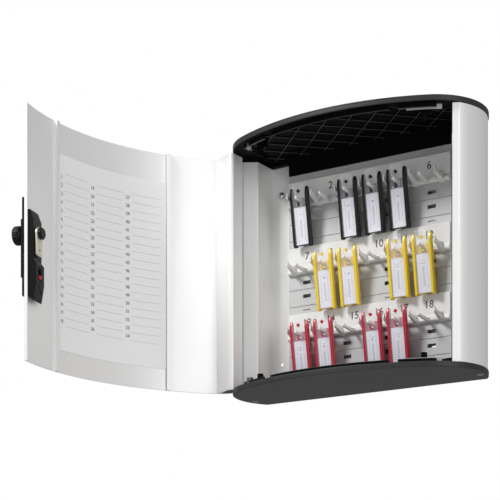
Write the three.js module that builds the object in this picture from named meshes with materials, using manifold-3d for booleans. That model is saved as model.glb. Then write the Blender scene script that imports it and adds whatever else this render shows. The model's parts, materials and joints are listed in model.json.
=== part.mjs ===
// Wall-hung key cabinet: a bow-fronted box of two moulded end caps and two extruded side profiles, with three
// strips of numbered hooks, twelve key tags, and a curved hinged door with a combination lock.
// Millimetres. The origin is the middle of the face that rests on the wall: X to the right, -Y out of the
// wall towards the front, +Z up. The door stands open.
import * as THREE from "three";
import { mergeVertices } from "three/addons/utils/BufferGeometryUtils.js";
import Module from "manifold-3d";

const wasm = await Module();
wasm.setup();

// ---- Driving dimensions ----

// Plan outline of both caps: a shallow front arc that runs tangentially into a tighter arc at each end.
const HALF_HEIGHT = 140;
const FRONT_RADIUS = 275.7;
const FRONT_CENTRE_Y = 157.7;
const END_RADIUS = 62;
const END_CENTRE_X = 88.9;
const END_CENTRE_Y = -36.5;
const TANGENT_DEG = 65.4;

// Caps
const RIM = 6; // height of the outer band
const CAP_UNDER = HALF_HEIGHT - RIM;
const CAP_PLATE = 3;
const LIP_BOTTOM = 129.6;
const LIP_OFFSET = 7.5;
const LIP_THICK = 2;
const LIP_HALF_WIDTH = 118;
const LIP_REAR = -78;
const NOTCH_X = 77.2; // where the door's two inner ribs close into the lip
const NOTCH_HALF_WIDTH = 4.6;
const SOCKET_TOP = CAP_UNDER + 1; // blocks on the cap's underside run this far up into its rim
const BAY_REAR = -13.6;
const SKIRT_REAR = -10;
const BOSS_X = 101;
const BOSS_Y = -75;
const BOSS_END = 121;
const BOSS_RADIUS = 3.4;
const BOSS_HOLE_RADIUS = 1.3;
const BOSS_FIN = 8.5; // half the length of the fins that brace a boss

// Side profiles, extruded aluminium
const WALL = 1.8;
const SKIN_OFFSET = 1;
const SKIN_END = 133.7;
const TUBE_END = 129.3;
const TUBE_INNER_X = 127.4;
const FACET_INNER_Y = -38.3;
const FACET_MIDDLE = [141.5, -47.2];
const FACET_OUTER = [149.5, -42.5];
const FLANGE_Y = -7;
const FLANGE_X = 103;
const FLANGE_SCREW_X = 115;
const FLANGE_SCREW_Z = 97;
const REBATE_OUTER = [138.8, -70.8];
const REBATE_INNER = [133.1, -74.3];
const PORT_X = 141;
const PORT_Y = -22.5;
const PORT_RADIUS = 5.5;
const PORT_HOLE_RADIUS = 2.2;
const SCREW_HEAD = 3; // screws that hold the caps to the ports
const SCREW_HEAD_RADIUS = 3.8;
const SCREW_SHANK_RADIUS = 1.9;
const SCREW_LENGTH = 24;

// Back plate, a hollow extrusion that runs across the cabinet
const PLATE_HALF_WIDTH = 102;
const PLATE_HALF_HEIGHT = 115;
const PLATE_DEPTH = 12;
const GROOVE_PITCH = 18.82;
const GROOVE_FIRST = -110.22;
const SLOT_COLUMNS = [-78.6, -26.2, 26.2, 78.6];
const SLOT_WIDTH = 10;
const SLOT_HEIGHT = 4;
const SLOT_PITCH = 15.4;

// Hook strips
const STRIP_HALF_WIDTH = 101.5;
const STRIP_HEIGHT = 29.5;
const STRIP_FRONT = -14.5;
const STRIP_BOTTOMS = [77, 1.7, -73.6];
const HOOK_PITCH = 30.7;
const HOOKS_PER_STRIP = 6;
const HOOK_THICK = 2.4;
const DIVIDER_THICK = 1.6;
const DIVIDER_REACH = 33.2; // how far a divider's nose stands out from the wall

// Key tags
const TAG_WIDTH = 23;
const TAG_HEIGHT = 66;
const TAG_DEPTH = 6.4;
const TAG_RAIL = 3.2;
const TAG_TILT_DEG = 9.6;
const TAG_ABOVE_HOLE = 12.5;
const TAG_HOLE_WIDTH = 4.6;
const TAG_HOLE_HEIGHT = 9;
const TAG_SADDLE_Y = -31;

// Door, drawn closed about its hinge axis and then turned open
const HINGE = [-143, -54.5];
const DOOR_OPEN_DEG = 104.5;
const DOOR_RADIUS = 258.3;
const DOOR_CENTRE_Y = 142.9;
const DOOR_SKIN = 2;
const DOOR_BOTTOM = -133.6;
const DOOR_TOP = 132.4;
const DOOR_FREE_DEG = 31.4;
const DOOR_HINGE_DEG = 31.2;
const SHEET_DEG = 17.4;
const SHEET_BOTTOM = -109.6;
const SHEET_TOP = 100.4;
const PIN_RADIUS = 2;
const PIN_CLEARANCE = 0.25;

// Lock, drawn about its spindle: x towards the door's free edge, -y outwards, y = 0 on the door's outer face
const LOCK_DEG = 29;
const LOCK_Z = -1.8;
const SPINDLE_RADIUS = 4;
const KNOB_RADIUS = 9.8;
const DIAL_RADIUS = 7;
const DIAL_WIDTH = 5.4;
const DIAL_CENTRE_Y = 1.2;
const DIAL_HEIGHTS = [-18, -25.4, -32.8, -40.2];
const WINDOW_HALF_WIDTH = 9; // opening in the door for the lock's housing
const WINDOW_BAND = [-48, 13.2];

const GAP = 0.3;

// ---- Materials ----

const finish = (color, roughness, metalness) => () =>
  new THREE.MeshStandardMaterial({ color, roughness, metalness });
const satinAluminium = finish("#d3d2cf", 0.38, 0.9);
const panelAluminium = finish("#c9c9c6", 0.5, 0.6);
const charcoalPlastic = finish("#3a3a3b", 0.55, 0);
const whitePlastic = finish("#eeedea", 0.45, 0);
const blackPlastic = finish("#17171a", 0.4, 0);
const steel = finish("#b9babb", 0.3, 1);
const brass = finish("#c9b78a", 0.35, 0.9);
const paper = finish("#efefea", 0.9, 0);
const greyPlastic = finish("#8f9193", 0.6, 0);
const redPlastic = finish("#a3232b", 0.5, 0);

const clearPlastic = () =>
  new THREE.MeshStandardMaterial({ color: "#f4f6f8", roughness: 0.12, transparent: true, opacity: 0.35 });

const tagColours = {
  black: finish("#141417", 0.42, 0),
  yellow: finish("#f0cb1e", 0.42, 0),
  red: finish("#bd1740", 0.42, 0),
};

// ---- Geometry helpers ----

const rad = THREE.MathUtils.degToRad;

// Points along an arc from one angle to another, in degrees, about every `step` degrees.
function arc(cx, cy, radius, from, to, step = 3) {
  const count = Math.max(1, Math.round(Math.abs(to - from) / step));
  return Array.from({ length: count + 1 }, (_, i) => {
    const a = rad(from + ((to - from) * i) / count);
    return [cx + radius * Math.cos(a), cy + radius * Math.sin(a)];
  });
}

const circle = (cx, cy, radius, step = 22.5) => arc(cx, cy, radius, 0, 360 - step, step);
const mirrorX = (points) => points.map(([x, y]) => [-x, y]).reverse();

// A closed outline, less its holes, stood up from z0 to z1.
function prism(outline, z0, z1, holes = []) {
  const toVectors = (points) => points.map(([x, y]) => new THREE.Vector2(x, y));
  const edge = toVectors(outline);
  // Holes are wound to suit only when the outline itself runs anticlockwise
  const shape = new THREE.Shape(THREE.ShapeUtils.isClockWise(edge) ? edge.reverse() : edge);
  shape.holes = holes.map((hole) => new THREE.Path(toVectors(hole)));
  return new THREE.ExtrudeGeometry(shape, { depth: z1 - z0, bevelEnabled: false }).translate(0, 0, z0);
}

// A prism whose outline is drawn in (y, z) and which runs along x.
function prismAlongX(outline, x0, x1, holes = []) {
  const turn = new THREE.Matrix4().set(0, 0, 1, 0, 1, 0, 0, 0, 0, 1, 0, 0, 0, 0, 0, 1);
  return prism(outline, x0, x1, holes).applyMatrix4(turn);
}

function box(x0, x1, y0, y1, z0, z1) {
  const centre = [(x0 + x1) / 2, (y0 + y1) / 2, (z0 + z1) / 2];
  return new THREE.BoxGeometry(x1 - x0, y1 - y0, z1 - z0).translate(...centre);
}

// A round bar along z or along y.
const bar = (radius, length, sides) => new THREE.CylinderGeometry(radius, radius, length, sides);
const barZ = (x, y, radius, z0, z1, sides = 16) =>
  bar(radius, z1 - z0, sides).rotateX(Math.PI / 2).translate(x, y, (z0 + z1) / 2);
const barY = (x, z, radius, y0, y1, sides = 16) => bar(radius, y1 - y0, sides).translate(x, (y0 + y1) / 2, z);

// A solid of revolution about the y axis, from [radius, y] points.
const turnedY = (profile, sides = 20) =>
  new THREE.LatheGeometry(profile.map(([r, y]) => new THREE.Vector2(r, y)), sides);

function solid(geometry) {
  const bare = geometry.clone();
  bare.deleteAttribute("normal");
  bare.deleteAttribute("uv");
  const merged = mergeVertices(bare, 1e-4);
  return new wasm.Manifold(
    new wasm.Mesh({
      numProp: 3,
      vertProperties: merged.attributes.position.array,
      triVerts: new Uint32Array(merged.index.array),
    }),
  );
}

function geometryOf(shape) {
  const mesh = shape.getMesh();
  const geometry = new THREE.BufferGeometry();
  geometry.setAttribute("position", new THREE.BufferAttribute(mesh.vertProperties, mesh.numProp));
  geometry.setIndex(new THREE.BufferAttribute(mesh.triVerts, 1));
  geometry.computeVertexNormals();
  return geometry;
}

const join = (...geometries) => geometries.map(solid).reduce((a, b) => a.add(b));
const cut = (from, ...tools) => tools.map(solid).reduce((a, b) => a.subtract(b), from);

const cabinet = new THREE.Group();
cabinet.name = "key_cabinet";

function place(group, name, shape, material) {
  const geometry = shape.isBufferGeometry ? shape : geometryOf(shape);
  const mesh = new THREE.Mesh(geometry, material());
  mesh.name = name;
  group.add(mesh);
  return mesh;
}

// ---- Caps ----

// The cap outline moved inwards by `offset`, closed by a straight back.
function capOutline(offset, back = 0) {
  const r = END_RADIUS - offset;
  const backDeg = THREE.MathUtils.radToDeg(Math.asin((back - END_CENTRE_Y) / r));
  const right = arc(END_CENTRE_X, END_CENTRE_Y, r, backDeg, -TANGENT_DEG, 6);
  const front = arc(0, FRONT_CENTRE_Y, FRONT_RADIUS - offset, -TANGENT_DEG, -180 + TANGENT_DEG, 2.5);
  return [...right, ...front.slice(1, -1), ...mirrorX(right)];
}

// The open bay of the cabinet in plan: inside the front lip and between the side profiles.
function bay(offset, halfWidth, z0, z1) {
  const inside = solid(prism(capOutline(offset, -15), z0, z1));
  return inside.intersect(solid(box(-halfWidth, halfWidth, -200, BAY_REAR, z0, z1)));
}

// The space inside a side profile, filled by the cap's socket block.
function socketOutline() {
  const r = END_RADIUS - SKIN_OFFSET - WALL - GAP;
  const skin = arc(END_CENTRE_X, END_CENTRE_Y, r, 33, -5, 8);
  const inset = 0.4;
  return [
    ...skin,
    [FACET_MIDDLE[0], FACET_MIDDLE[1] + 2 * inset],
    [TUBE_INNER_X + inset, FACET_INNER_Y],
    [TUBE_INNER_X + inset, -4],
  ];
}

function cornerBoss(x) {
  const root = HALF_HEIGHT - 1;
  const parts = [barZ(x, BOSS_Y, BOSS_RADIUS, BOSS_END, root, 12)];
  for (const turn of [30, 120]) {
    const fin = box(-BOSS_FIN, BOSS_FIN, -0.6, 0.6, LIP_BOTTOM + 1, root);
    parts.push(fin.rotateZ(rad(turn)).translate(x, BOSS_Y, 0));
  }
  return cut(join(...parts), barZ(x, BOSS_Y, BOSS_HOLE_RADIUS, BOSS_END - 1, BOSS_END + 9, 8));
}

function makeCap() {
  const underside = HALF_HEIGHT - CAP_PLATE;
  const recess = bay(LIP_OFFSET + LIP_THICK, 120, CAP_UNDER - 1, underside);
  const lipBand = box(-LIP_HALF_WIDTH, LIP_HALF_WIDTH, -150, LIP_REAR, LIP_BOTTOM, SOCKET_TOP);
  const lipOuter = bay(LIP_OFFSET, 120, LIP_BOTTOM, SOCKET_TOP).intersect(solid(lipBand));
  const lipInner = bay(LIP_OFFSET + LIP_THICK, 120, LIP_BOTTOM - 1, SOCKET_TOP + 1);
  const notches = [-NOTCH_X, NOTCH_X].map((x) =>
    box(x - NOTCH_HALF_WIDTH, x + NOTCH_HALF_WIDTH, -150, LIP_REAR, LIP_BOTTOM - 1, SOCKET_TOP + 1),
  );
  const lip = cut(lipOuter.subtract(lipInner), ...notches);
  const socket = socketOutline();
  // The deep skirt above the back plate, its shallow ends in front of the profile flanges, and a stop on the
  // lip at the hinge end
  const blocks = [
    box(-PLATE_HALF_WIDTH, PLATE_HALF_WIDTH, -13, SKIRT_REAR, PLATE_HALF_HEIGHT + GAP, SOCKET_TOP),
    box(-TUBE_INNER_X, TUBE_INNER_X, -13, -4, LIP_BOTTOM, SOCKET_TOP),
    box(-111, -105, -87.5, -83.5, BOSS_END + 5, SOCKET_TOP),
    prism(socket, LIP_BOTTOM, SOCKET_TOP),
    prism(mirrorX(socket), LIP_BOTTOM, SOCKET_TOP),
  ];
  const plate = solid(prism(capOutline(0), CAP_UNDER, HALF_HEIGHT)).subtract(recess);
  const additions = [lip, ...blocks.map(solid), cornerBoss(-BOSS_X), cornerBoss(BOSS_X)];
  const cap = additions.reduce((a, b) => a.add(b), plate);
  const screwHoles = [-PORT_X, PORT_X].flatMap((x) => [
    barZ(x, PORT_Y, SCREW_HEAD_RADIUS + 0.5, HALF_HEIGHT - SCREW_HEAD - 0.4, HALF_HEIGHT + 1),
    barZ(x, PORT_Y, SCREW_SHANK_RADIUS + 0.5, LIP_BOTTOM - 1, HALF_HEIGHT),
  ]);
  const pinHole = barZ(...HINGE, PIN_RADIUS + 0.1, CAP_UNDER - 1, HALF_HEIGHT - 1.5);
  return cut(cap, ...screwHoles, pinHole);
}

const capGeometry = geometryOf(makeCap());
place(cabinet, "top_cap", capGeometry, charcoalPlastic);
place(cabinet, "bottom_cap", capGeometry.clone(), charcoalPlastic).scale.z = -1;

// Screw that holds a cap to a side profile's port: a sunk head with a cross recess, above a plain shank.
function capScrew() {
  const top = HALF_HEIGHT - GAP;
  const head = barZ(0, 0, SCREW_HEAD_RADIUS, top - SCREW_HEAD, top);
  const shank = barZ(0, 0, SCREW_SHANK_RADIUS, top - SCREW_LENGTH, top - SCREW_HEAD + 0.5, 12);
  const recess = [0, 90].map((turn) => box(-2.2, 2.2, -0.4, 0.4, top - 1.4, top + 1).rotateZ(rad(turn)));
  return cut(join(head, shank), ...recess);
}

const screwGeometry = geometryOf(capScrew());
for (const [side, x] of [["left", -PORT_X], ["right", PORT_X]]) {
  for (const [end, sign] of [["top", 1], ["bottom", -1]]) {
    const screw = place(cabinet, `cap_screw_${end}_${side}`, screwGeometry.clone(), steel);
    screw.position.set(x, PORT_Y, 0);
    screw.scale.z = sign;
  }
}

// ---- Side profiles ----

const skinOuter = END_RADIUS - SKIN_OFFSET;
const skinDeg = ([x, y]) => THREE.MathUtils.radToDeg(Math.atan2(y - END_CENTRE_Y, x - END_CENTRE_X));

// The curved outer wall, from the back of the cabinet to a given angle.
function skinOutline(frontDeg) {
  const outer = arc(END_CENTRE_X, END_CENTRE_Y, skinOuter, 35.5, frontDeg, 6);
  const inner = arc(END_CENTRE_X, END_CENTRE_Y, skinOuter - WALL, frontDeg, 35.5, 6);
  return [...outer, ...inner];
}

// The box section behind the outer wall: front facet, inner wall, flange for the back plate, and back wall.
function tubeSection() {
  const skinRear = [END_CENTRE_X + skinOuter * Math.cos(rad(35.5)), -1];
  const outside = [
    skinRear,
    ...arc(END_CENTRE_X, END_CENTRE_Y, skinOuter, 32, skinDeg(FACET_OUTER) + 2, 6),
    FACET_OUTER,
    FACET_MIDDLE,
    [TUBE_INNER_X, FACET_INNER_Y],
    [TUBE_INNER_X, FLANGE_Y],
    [FLANGE_X, FLANGE_Y],
    [FLANGE_X, FLANGE_Y + WALL],
    [TUBE_INNER_X, FLANGE_Y + WALL],
    [TUBE_INNER_X, -1],
  ];
  const inside = [
    ...arc(END_CENTRE_X, END_CENTRE_Y, skinOuter - WALL, 31, skinDeg(FACET_OUTER) + 2, 6),
    [FACET_MIDDLE[0], FACET_MIDDLE[1] + WALL * 1.2],
    [TUBE_INNER_X + WALL, FACET_INNER_Y + WALL * 0.6],
    [TUBE_INNER_X + WALL, -1 - WALL],
    [skinRear[0] - 2.4, -1 - WALL],
  ];
  return { outside, inside };
}

function sideProfile(frontDeg, extras = []) {
  const { outside, inside } = tubeSection();
  const port = circle(PORT_X, PORT_Y, PORT_HOLE_RADIUS);
  const tube = solid(prism(outside, -TUBE_END, TUBE_END, [inside]));
  const portWall = solid(prism(circle(PORT_X, PORT_Y, PORT_RADIUS), -TUBE_END, TUBE_END));
  const skin = solid(prism(skinOutline(frontDeg), -SKIN_END, SKIN_END));
  const profile = [tube, portWall, skin, ...extras.map(solid)].reduce((a, b) => a.add(b));
  const screwHoles = [FLANGE_SCREW_Z, -FLANGE_SCREW_Z].map((z) => barY(FLANGE_SCREW_X, z, 2.1, -10, 0, 12));
  return cut(profile, prism(port, -TUBE_END - 1, TUBE_END + 1), ...screwHoles);
}

// The right profile carries the skin on past the box section and ends in a rebate for the door's edge.
const rebateDeg = skinDeg(REBATE_OUTER);
const rebate = [
  REBATE_OUTER,
  REBATE_INNER,
  [REBATE_INNER[0] - 0.9, REBATE_INNER[1] + 1.5],
  [REBATE_OUTER[0] - 1.7, REBATE_OUTER[1] + 2.4],
];
const rightProfile = sideProfile(rebateDeg, [prism(rebate, -SKIN_END, SKIN_END)]);
place(cabinet, "side_profile_right", rightProfile, satinAluminium);
const leftProfile = sideProfile(skinDeg(FACET_OUTER));
place(cabinet, "side_profile_left", leftProfile, satinAluminium).scale.x = -1;

// Bent keeper behind the rebate, which the lock's cam turns in behind.
const keeper = [
  [131.5, -71.4],
  [137.1, -68.2],
  [144.1, -55.6],
  [142.2, -54.6],
  [135.5, -66.6],
  [130.4, -69.4],
];
place(cabinet, "lock_keeper", prism(keeper, LOCK_Z - 14, LOCK_Z + 14), steel);

// ---- Back plate ----

function backPlate() {
  const front = [];
  for (let z = GROOVE_FIRST; z < PLATE_HALF_HEIGHT - 1; z += GROOVE_PITCH) {
    front.push([-PLATE_DEPTH, z - 0.5], [-PLATE_DEPTH + 0.8, z], [-PLATE_DEPTH, z + 0.5]);
  }
  const outline = [[0, -PLATE_HALF_HEIGHT], [-PLATE_DEPTH, -PLATE_HALF_HEIGHT], ...front];
  outline.push([-PLATE_DEPTH, PLATE_HALF_HEIGHT], [0, PLATE_HALF_HEIGHT]);
  const webs = [-113, -75, -37, 1, 39, 77, 115];
  const cells = webs.slice(1).map((top, i) => {
    const bottom = webs[i];
    return [[-2, bottom], [-2, top - 2], [-PLATE_DEPTH + 2, top - 2], [-PLATE_DEPTH + 2, bottom]];
  });
  const plate = solid(prismAlongX(outline, -PLATE_HALF_WIDTH, PLATE_HALF_WIDTH, cells));
  const slots = [];
  STRIP_BOTTOMS.forEach((bottom, row) => {
    SLOT_COLUMNS.forEach((x) => {
      const outerColumn = Math.abs(x) > 50;
      [10.2, 10.2 + SLOT_PITCH].forEach((drop, i) => {
        // The outermost slots go on through the back skin and take the wall screws
        const through = outerColumn && ((row === 0 && i === 0) || (row === 2 && i === 1));
        const z = bottom - drop;
        const w = SLOT_WIDTH / 2;
        const h = SLOT_HEIGHT / 2;
        slots.push(box(x - w, x + w, -PLATE_DEPTH - 1, through ? 1 : -PLATE_DEPTH + 3, z - h, z + h));
      });
      const top = bottom + STRIP_HEIGHT + (row === 0 ? 5.6 : 4.4);
      slots.push(box(x - 4.5, x + 4.5, -PLATE_DEPTH - 1, -PLATE_DEPTH + 1.2, top - 0.6, top + 0.6));
    });
  });
  return cut(plate, ...slots);
}

place(cabinet, "back_plate", backPlate(), panelAluminium);

// Pan-head screws that hold the back plate's end brackets to the profile flanges
function flangeScrew() {
  const head = turnedY([[0, -3], [2.2, -2.7], [4, -1], [4, 0], [1.8, 0], [1.8, 6], [0, 6]], 12);
  const recess = [0, 90].map((turn) => box(-2, 2, -4, -1.8, -0.4, 0.4).rotateY(rad(turn)));
  return cut(solid(head), ...recess);
}

for (const [side, x] of [["left", -FLANGE_SCREW_X], ["right", FLANGE_SCREW_X]]) {
  const screw = place(cabinet, `plate_screw_${side}`, flangeScrew(), steel);
  screw.position.set(x, FLANGE_Y - GAP, FLANGE_SCREW_Z);
}

// ---- Hook strips ----

// Hooks and dividers are drawn at x = 0 with z = 0 on the strip's bottom edge.
// A hook is an upright blade with a saddle for the tag and a slightly raised tip.
function hook() {
  const blade = [
    [-13, -1], [STRIP_FRONT, -1], [-38.5, 1.2], [-40, 2.6], [-40.2, 4.8], [-39.4, 5.2],
    [-35, 3.7], [-25, 3.4], [-18, 3.8], [-13, 6.6],
  ];
  return prismAlongX(blade, -HOOK_THICK / 2, HOOK_THICK / 2);
}

// A divider stands between two hooks: a thin fin with an upturned nose, and a web that narrows towards it.
function divider() {
  const root = [STRIP_FRONT, -1.4];
  const tip = [-DIVIDER_REACH + 1, 5.2];
  const fin = [
    [-13, -1.4], root, tip, [-DIVIDER_REACH, 6.4], [-DIVIDER_REACH, 11.4], [-DIVIDER_REACH + 1.4, 12],
    [-DIVIDER_REACH + 2.6, 8.6], [-22, 7.8], [STRIP_FRONT, 9.4], [-13, 9.6],
  ];
  const halfWeb = [[3.2, -13], [3.2, STRIP_FRONT], [DIVIDER_THICK / 2, tip[0]]];
  const web = prism([...halfWeb, ...mirrorX(halfWeb)], 0, 1.6);
  // Sheared so that its underside follows the lower edge of the fin
  const rise = (tip[1] - root[1]) / (root[0] - tip[0]);
  web.applyMatrix4(new THREE.Matrix4().makeShear(0, 0, 0, -rise, 0, 0));
  web.translate(0, 0, root[1] + rise * root[0]);
  return geometryOf(join(prismAlongX(fin, -DIVIDER_THICK / 2, DIVIDER_THICK / 2), web));
}

function hookStrip() {
  const back = -PLATE_DEPTH - GAP;
  const section = [
    [back, 0], [back, STRIP_HEIGHT], [STRIP_FRONT, STRIP_HEIGHT], [STRIP_FRONT, 6.6],
    [STRIP_FRONT - 1.2, 5.4], [STRIP_FRONT - 2.2, 3], [STRIP_FRONT - 2.2, 0.6], [STRIP_FRONT - 1.2, -0.6],
    [-13, -1],
  ];
  let strip = solid(prismAlongX(section, -STRIP_HALF_WIDTH, STRIP_HALF_WIDTH));
  const oneHook = hook();
  for (let i = 0; i < HOOKS_PER_STRIP; i++) {
    const x = (i - (HOOKS_PER_STRIP - 1) / 2) * HOOK_PITCH;
    strip = strip.add(solid(oneHook.clone().translate(x, 0, 0)));
  }
  const oneDivider = divider();
  for (let i = 0; i <= HOOKS_PER_STRIP; i++) {
    const x = (i - HOOKS_PER_STRIP / 2) * HOOK_PITCH;
    strip = strip.add(solid(oneDivider.clone().translate(x, 0, 0)));
  }
  return geometryOf(strip);
}

const stripGeometry = hookStrip();
["top", "middle", "bottom"].forEach((row, i) => {
  place(cabinet, `hook_strip_${row}`, stripGeometry.clone(), whitePlastic).position.z = STRIP_BOTTOMS[i];
});

// ---- Key tags ----

// Both pieces are drawn upright with the hole's upper edge at the origin: x across, -y outwards.
const tagTop = TAG_ABOVE_HOLE;
const tagBottom = tagTop - TAG_HEIGHT;
const tagHole = box(-TAG_HOLE_WIDTH / 2, TAG_HOLE_WIDTH / 2, -20, 20, -TAG_HOLE_HEIGHT, 0);

// The coloured tray: back, two thick side rails with rounded tops, and a foot.
function tagTray() {
  const w = TAG_WIDTH / 2;
  const front = -TAG_DEPTH / 2;
  const back = TAG_DEPTH / 2;
  const railSide = [
    [back, tagBottom], [back, tagTop - 1], [back - 2, tagTop], [front + 2.4, tagTop - 1.4],
    [front, tagTop - 5], [front, tagBottom + 1.5], [front + 1.5, tagBottom],
  ];
  const backWall = box(-w + 1, w - 1, back - 1.3, back, tagBottom, tagTop - 2);
  const rails = [prismAlongX(railSide, -w, -w + TAG_RAIL), prismAlongX(railSide, w - TAG_RAIL, w)];
  const foot = box(-w + 1, w - 1, front + 2.6, back, tagBottom, tagBottom + 2);
  return cut(join(backWall, ...rails, foot), tagHole);
}

// The clear cover between the rails, with a lip at the foot and a rounded top that stands above them.
function tagCover() {
  const w = TAG_WIDTH / 2 - TAG_RAIL - GAP;
  const face = [
    ...arc(w - 3, tagTop + 0.5, 3, 0, 90, 30), ...arc(-w + 3, tagTop + 0.5, 3, 90, 180, 30),
    [-w, tagBottom + 2.4], [w, tagBottom + 2.4],
  ];
  const front = -TAG_DEPTH / 2 + 0.5;
  const turn = new THREE.Matrix4().makeRotationX(Math.PI / 2);
  const sheet = prism(face, -front - 1.5, -front).applyMatrix4(turn);
  const lip = box(-w, w, front - 0.9, front + 1.5, tagBottom + 2.4, tagBottom + 5);
  return cut(join(sheet, lip), tagHole);
}

const tagRows = [
  { colour: "black", hooks: [1, 3, 4, 5] },
  { colour: "yellow", hooks: [2, 3, 5, 6] },
  { colour: "red", hooks: [1, 2, 4, 5] },
];
const trayGeometry = geometryOf(tagTray());
const coverGeometry = geometryOf(tagCover());
tagRows.forEach(({ colour, hooks }, row) => {
  hooks.forEach((hookNumber) => {
    const number = String(row * HOOKS_PER_STRIP + hookNumber).padStart(2, "0");
    const tag = new THREE.Group();
    tag.position.x = (hookNumber - (HOOKS_PER_STRIP + 1) / 2) * HOOK_PITCH;
    tag.position.y = TAG_SADDLE_Y;
    tag.position.z = STRIP_BOTTOMS[row] + 4.3;
    tag.rotation.x = rad(TAG_TILT_DEG);
    place(tag, `tag_${number}_tray`, trayGeometry.clone(), tagColours[colour]);
    place(tag, `tag_${number}_cover`, coverGeometry.clone(), clearPlastic);
    cabinet.add(tag);
  });
});

// ---- Door ----

const door = new THREE.Group();
door.position.set(HINGE[0], HINGE[1], 0);
door.rotation.z = -rad(DOOR_OPEN_DEG);
cabinet.add(door);

const doorInner = DOOR_RADIUS - DOOR_SKIN;
// Point on a cylinder about the door's own centre; the angle is measured from the middle of the front.
const onDoor = (radius, deg) => [radius * Math.sin(rad(deg)), DOOR_CENTRE_Y - radius * Math.cos(rad(deg))];
const doorArc = (radius, from, to, step = 2.5) => arc(0, DOOR_CENTRE_Y, radius, from - 90, to - 90, step);

// L-shaped rib that holds one edge of the index sheet; `side` is +1 by the lock and -1 by the hinge.
const sheetRib = (side) => [
  onDoor(doorInner, side * (SHEET_DEG + 0.75)),
  onDoor(doorInner - 3.4, side * (SHEET_DEG + 0.75)),
  onDoor(doorInner - 3.4, side * (SHEET_DEG - 0.35)),
  onDoor(doorInner - 2.3, side * (SHEET_DEG - 0.35)),
  onDoor(doorInner - 2.3, side * (SHEET_DEG + 0.35)),
  onDoor(doorInner, side * (SHEET_DEG + 0.35)),
];

// The door's cross-section, closed: the curved panel, then the hollow post that wraps round the hinge axis.
function doorSection() {
  const cornerArc = arc(-END_CENTRE_X, END_CENTRE_Y, skinOuter, 222.6, 200, 6);
  const knuckle = arc(...HINGE, 4, 205, 72, 15);
  const nose = arc(-128.2, -50.6, 3.9, 100, 0, 20);
  return [
    ...doorArc(DOOR_RADIUS, DOOR_FREE_DEG, -DOOR_HINGE_DEG),
    ...cornerArc.slice(1),
    ...knuckle,
    ...nose,
    [-124.6, -56.4],
    onDoor(doorInner, -30.6),
    ...doorArc(doorInner, -30, -SHEET_DEG - 0.75),
    ...sheetRib(-1).slice(1, -1),
    ...doorArc(doorInner, -SHEET_DEG - 0.35, SHEET_DEG + 0.35),
    ...sheetRib(1).slice(1, -1).reverse(),
    ...doorArc(doorInner, SHEET_DEG + 0.75, DOOR_FREE_DEG - 0.4),
    onDoor(doorInner - 1.4, DOOR_FREE_DEG - 0.35),
    onDoor(doorInner - 1.4, DOOR_FREE_DEG),
  ];
}

// The hollow of the hinge post, moved inwards by `inset` from the walls.
function postHollow(inset) {
  const skin = arc(-END_CENTRE_X, END_CENTRE_Y, skinOuter - WALL - inset, 219, 208, 4);
  return [
    ...skin,
    [-138.3 + inset, -57.6 - inset * 0.3],
    [-135.6 + inset, -51.4 - inset],
    [-129 - inset * 0.4, -48.8 - inset],
    [-126.6 - inset, -50.8],
    [-126.5 - inset, -56 - inset * 0.4],
    [-132.9 - inset * 0.5, -73.6 + inset * 1.5],
  ];
}

function doorPanel() {
  const hollow = postHollow(0);
  const bore = circle(...HINGE, PIN_RADIUS + PIN_CLEARANCE);
  const panel = solid(prism(doorSection(), DOOR_BOTTOM, DOOR_TOP, [hollow, bore]));
  const window = box(-WINDOW_HALF_WIDTH, WINDOW_HALF_WIDTH, -2, 6, ...WINDOW_BAND).rotateZ(rad(LOCK_DEG));
  window.translate(...onDoor(DOOR_RADIUS, LOCK_DEG), 0);
  return cut(panel, window);
}

// Everything on the door is drawn closed, in cabinet coordinates, and hung from the hinge.
function hang(name, shape, material) {
  const mesh = place(door, name, shape, material);
  mesh.position.set(-HINGE[0], -HINGE[1], 0);
  return mesh;
}

hang("door_panel", doorPanel(), satinAluminium);

const plugOutline = postHollow(0.35);
hang("post_plug_top", prism(plugOutline, DOOR_TOP - 8, DOOR_TOP), blackPlastic);
hang("post_plug_bottom", prism(plugOutline, DOOR_BOTTOM, DOOR_BOTTOM + 8), blackPlastic);

// A sheet held between the door's ribs, from one radius to another.
function curvedSheet(outer, inner) {
  const outline = [...doorArc(outer, SHEET_DEG, -SHEET_DEG), ...doorArc(inner, -SHEET_DEG, SHEET_DEG)];
  return prism(outline, SHEET_BOTTOM, SHEET_TOP);
}

hang("index_sheet", curvedSheet(doorInner - 0.4, doorInner - 0.8), paper);
hang("index_cover", curvedSheet(doorInner - 1.2, doorInner - 1.7), clearPlastic);

// Hinge pins, pressed into the caps and standing in the door's bore
for (const [end, sign, reach] of [["top", 1, DOOR_TOP - 14], ["bottom", -1, -DOOR_BOTTOM - 14]]) {
  const pin = place(cabinet, `hinge_pin_${end}`, barZ(...HINGE, PIN_RADIUS, reach, HALF_HEIGHT - 2), steel);
  pin.scale.z = sign;
}

// ---- Lock ----

const lock = new THREE.Group();
const lockOrigin = onDoor(DOOR_RADIUS, LOCK_DEG);
lock.position.set(lockOrigin[0] - HINGE[0], lockOrigin[1] - HINGE[1], 0);
lock.rotation.z = rad(LOCK_DEG);
door.add(lock);

const DIAL_BAND = [DIAL_HEIGHTS[3] - 4.6, DIAL_HEIGHTS[0] + 4.6];

const axleGroove = () => barZ(0, DIAL_CENTRE_Y, 1.8, DIAL_BAND[0] - 2.2, DIAL_BAND[1] + 2.2);

function outerPlate() {
  const plate = box(-11.5, 10, -2.9, -0.5, -67.1, 34.9);
  return cut(solid(plate), box(-WINDOW_HALF_WIDTH, WINDOW_HALF_WIDTH, -4, 1, ...WINDOW_BAND));
}

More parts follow.
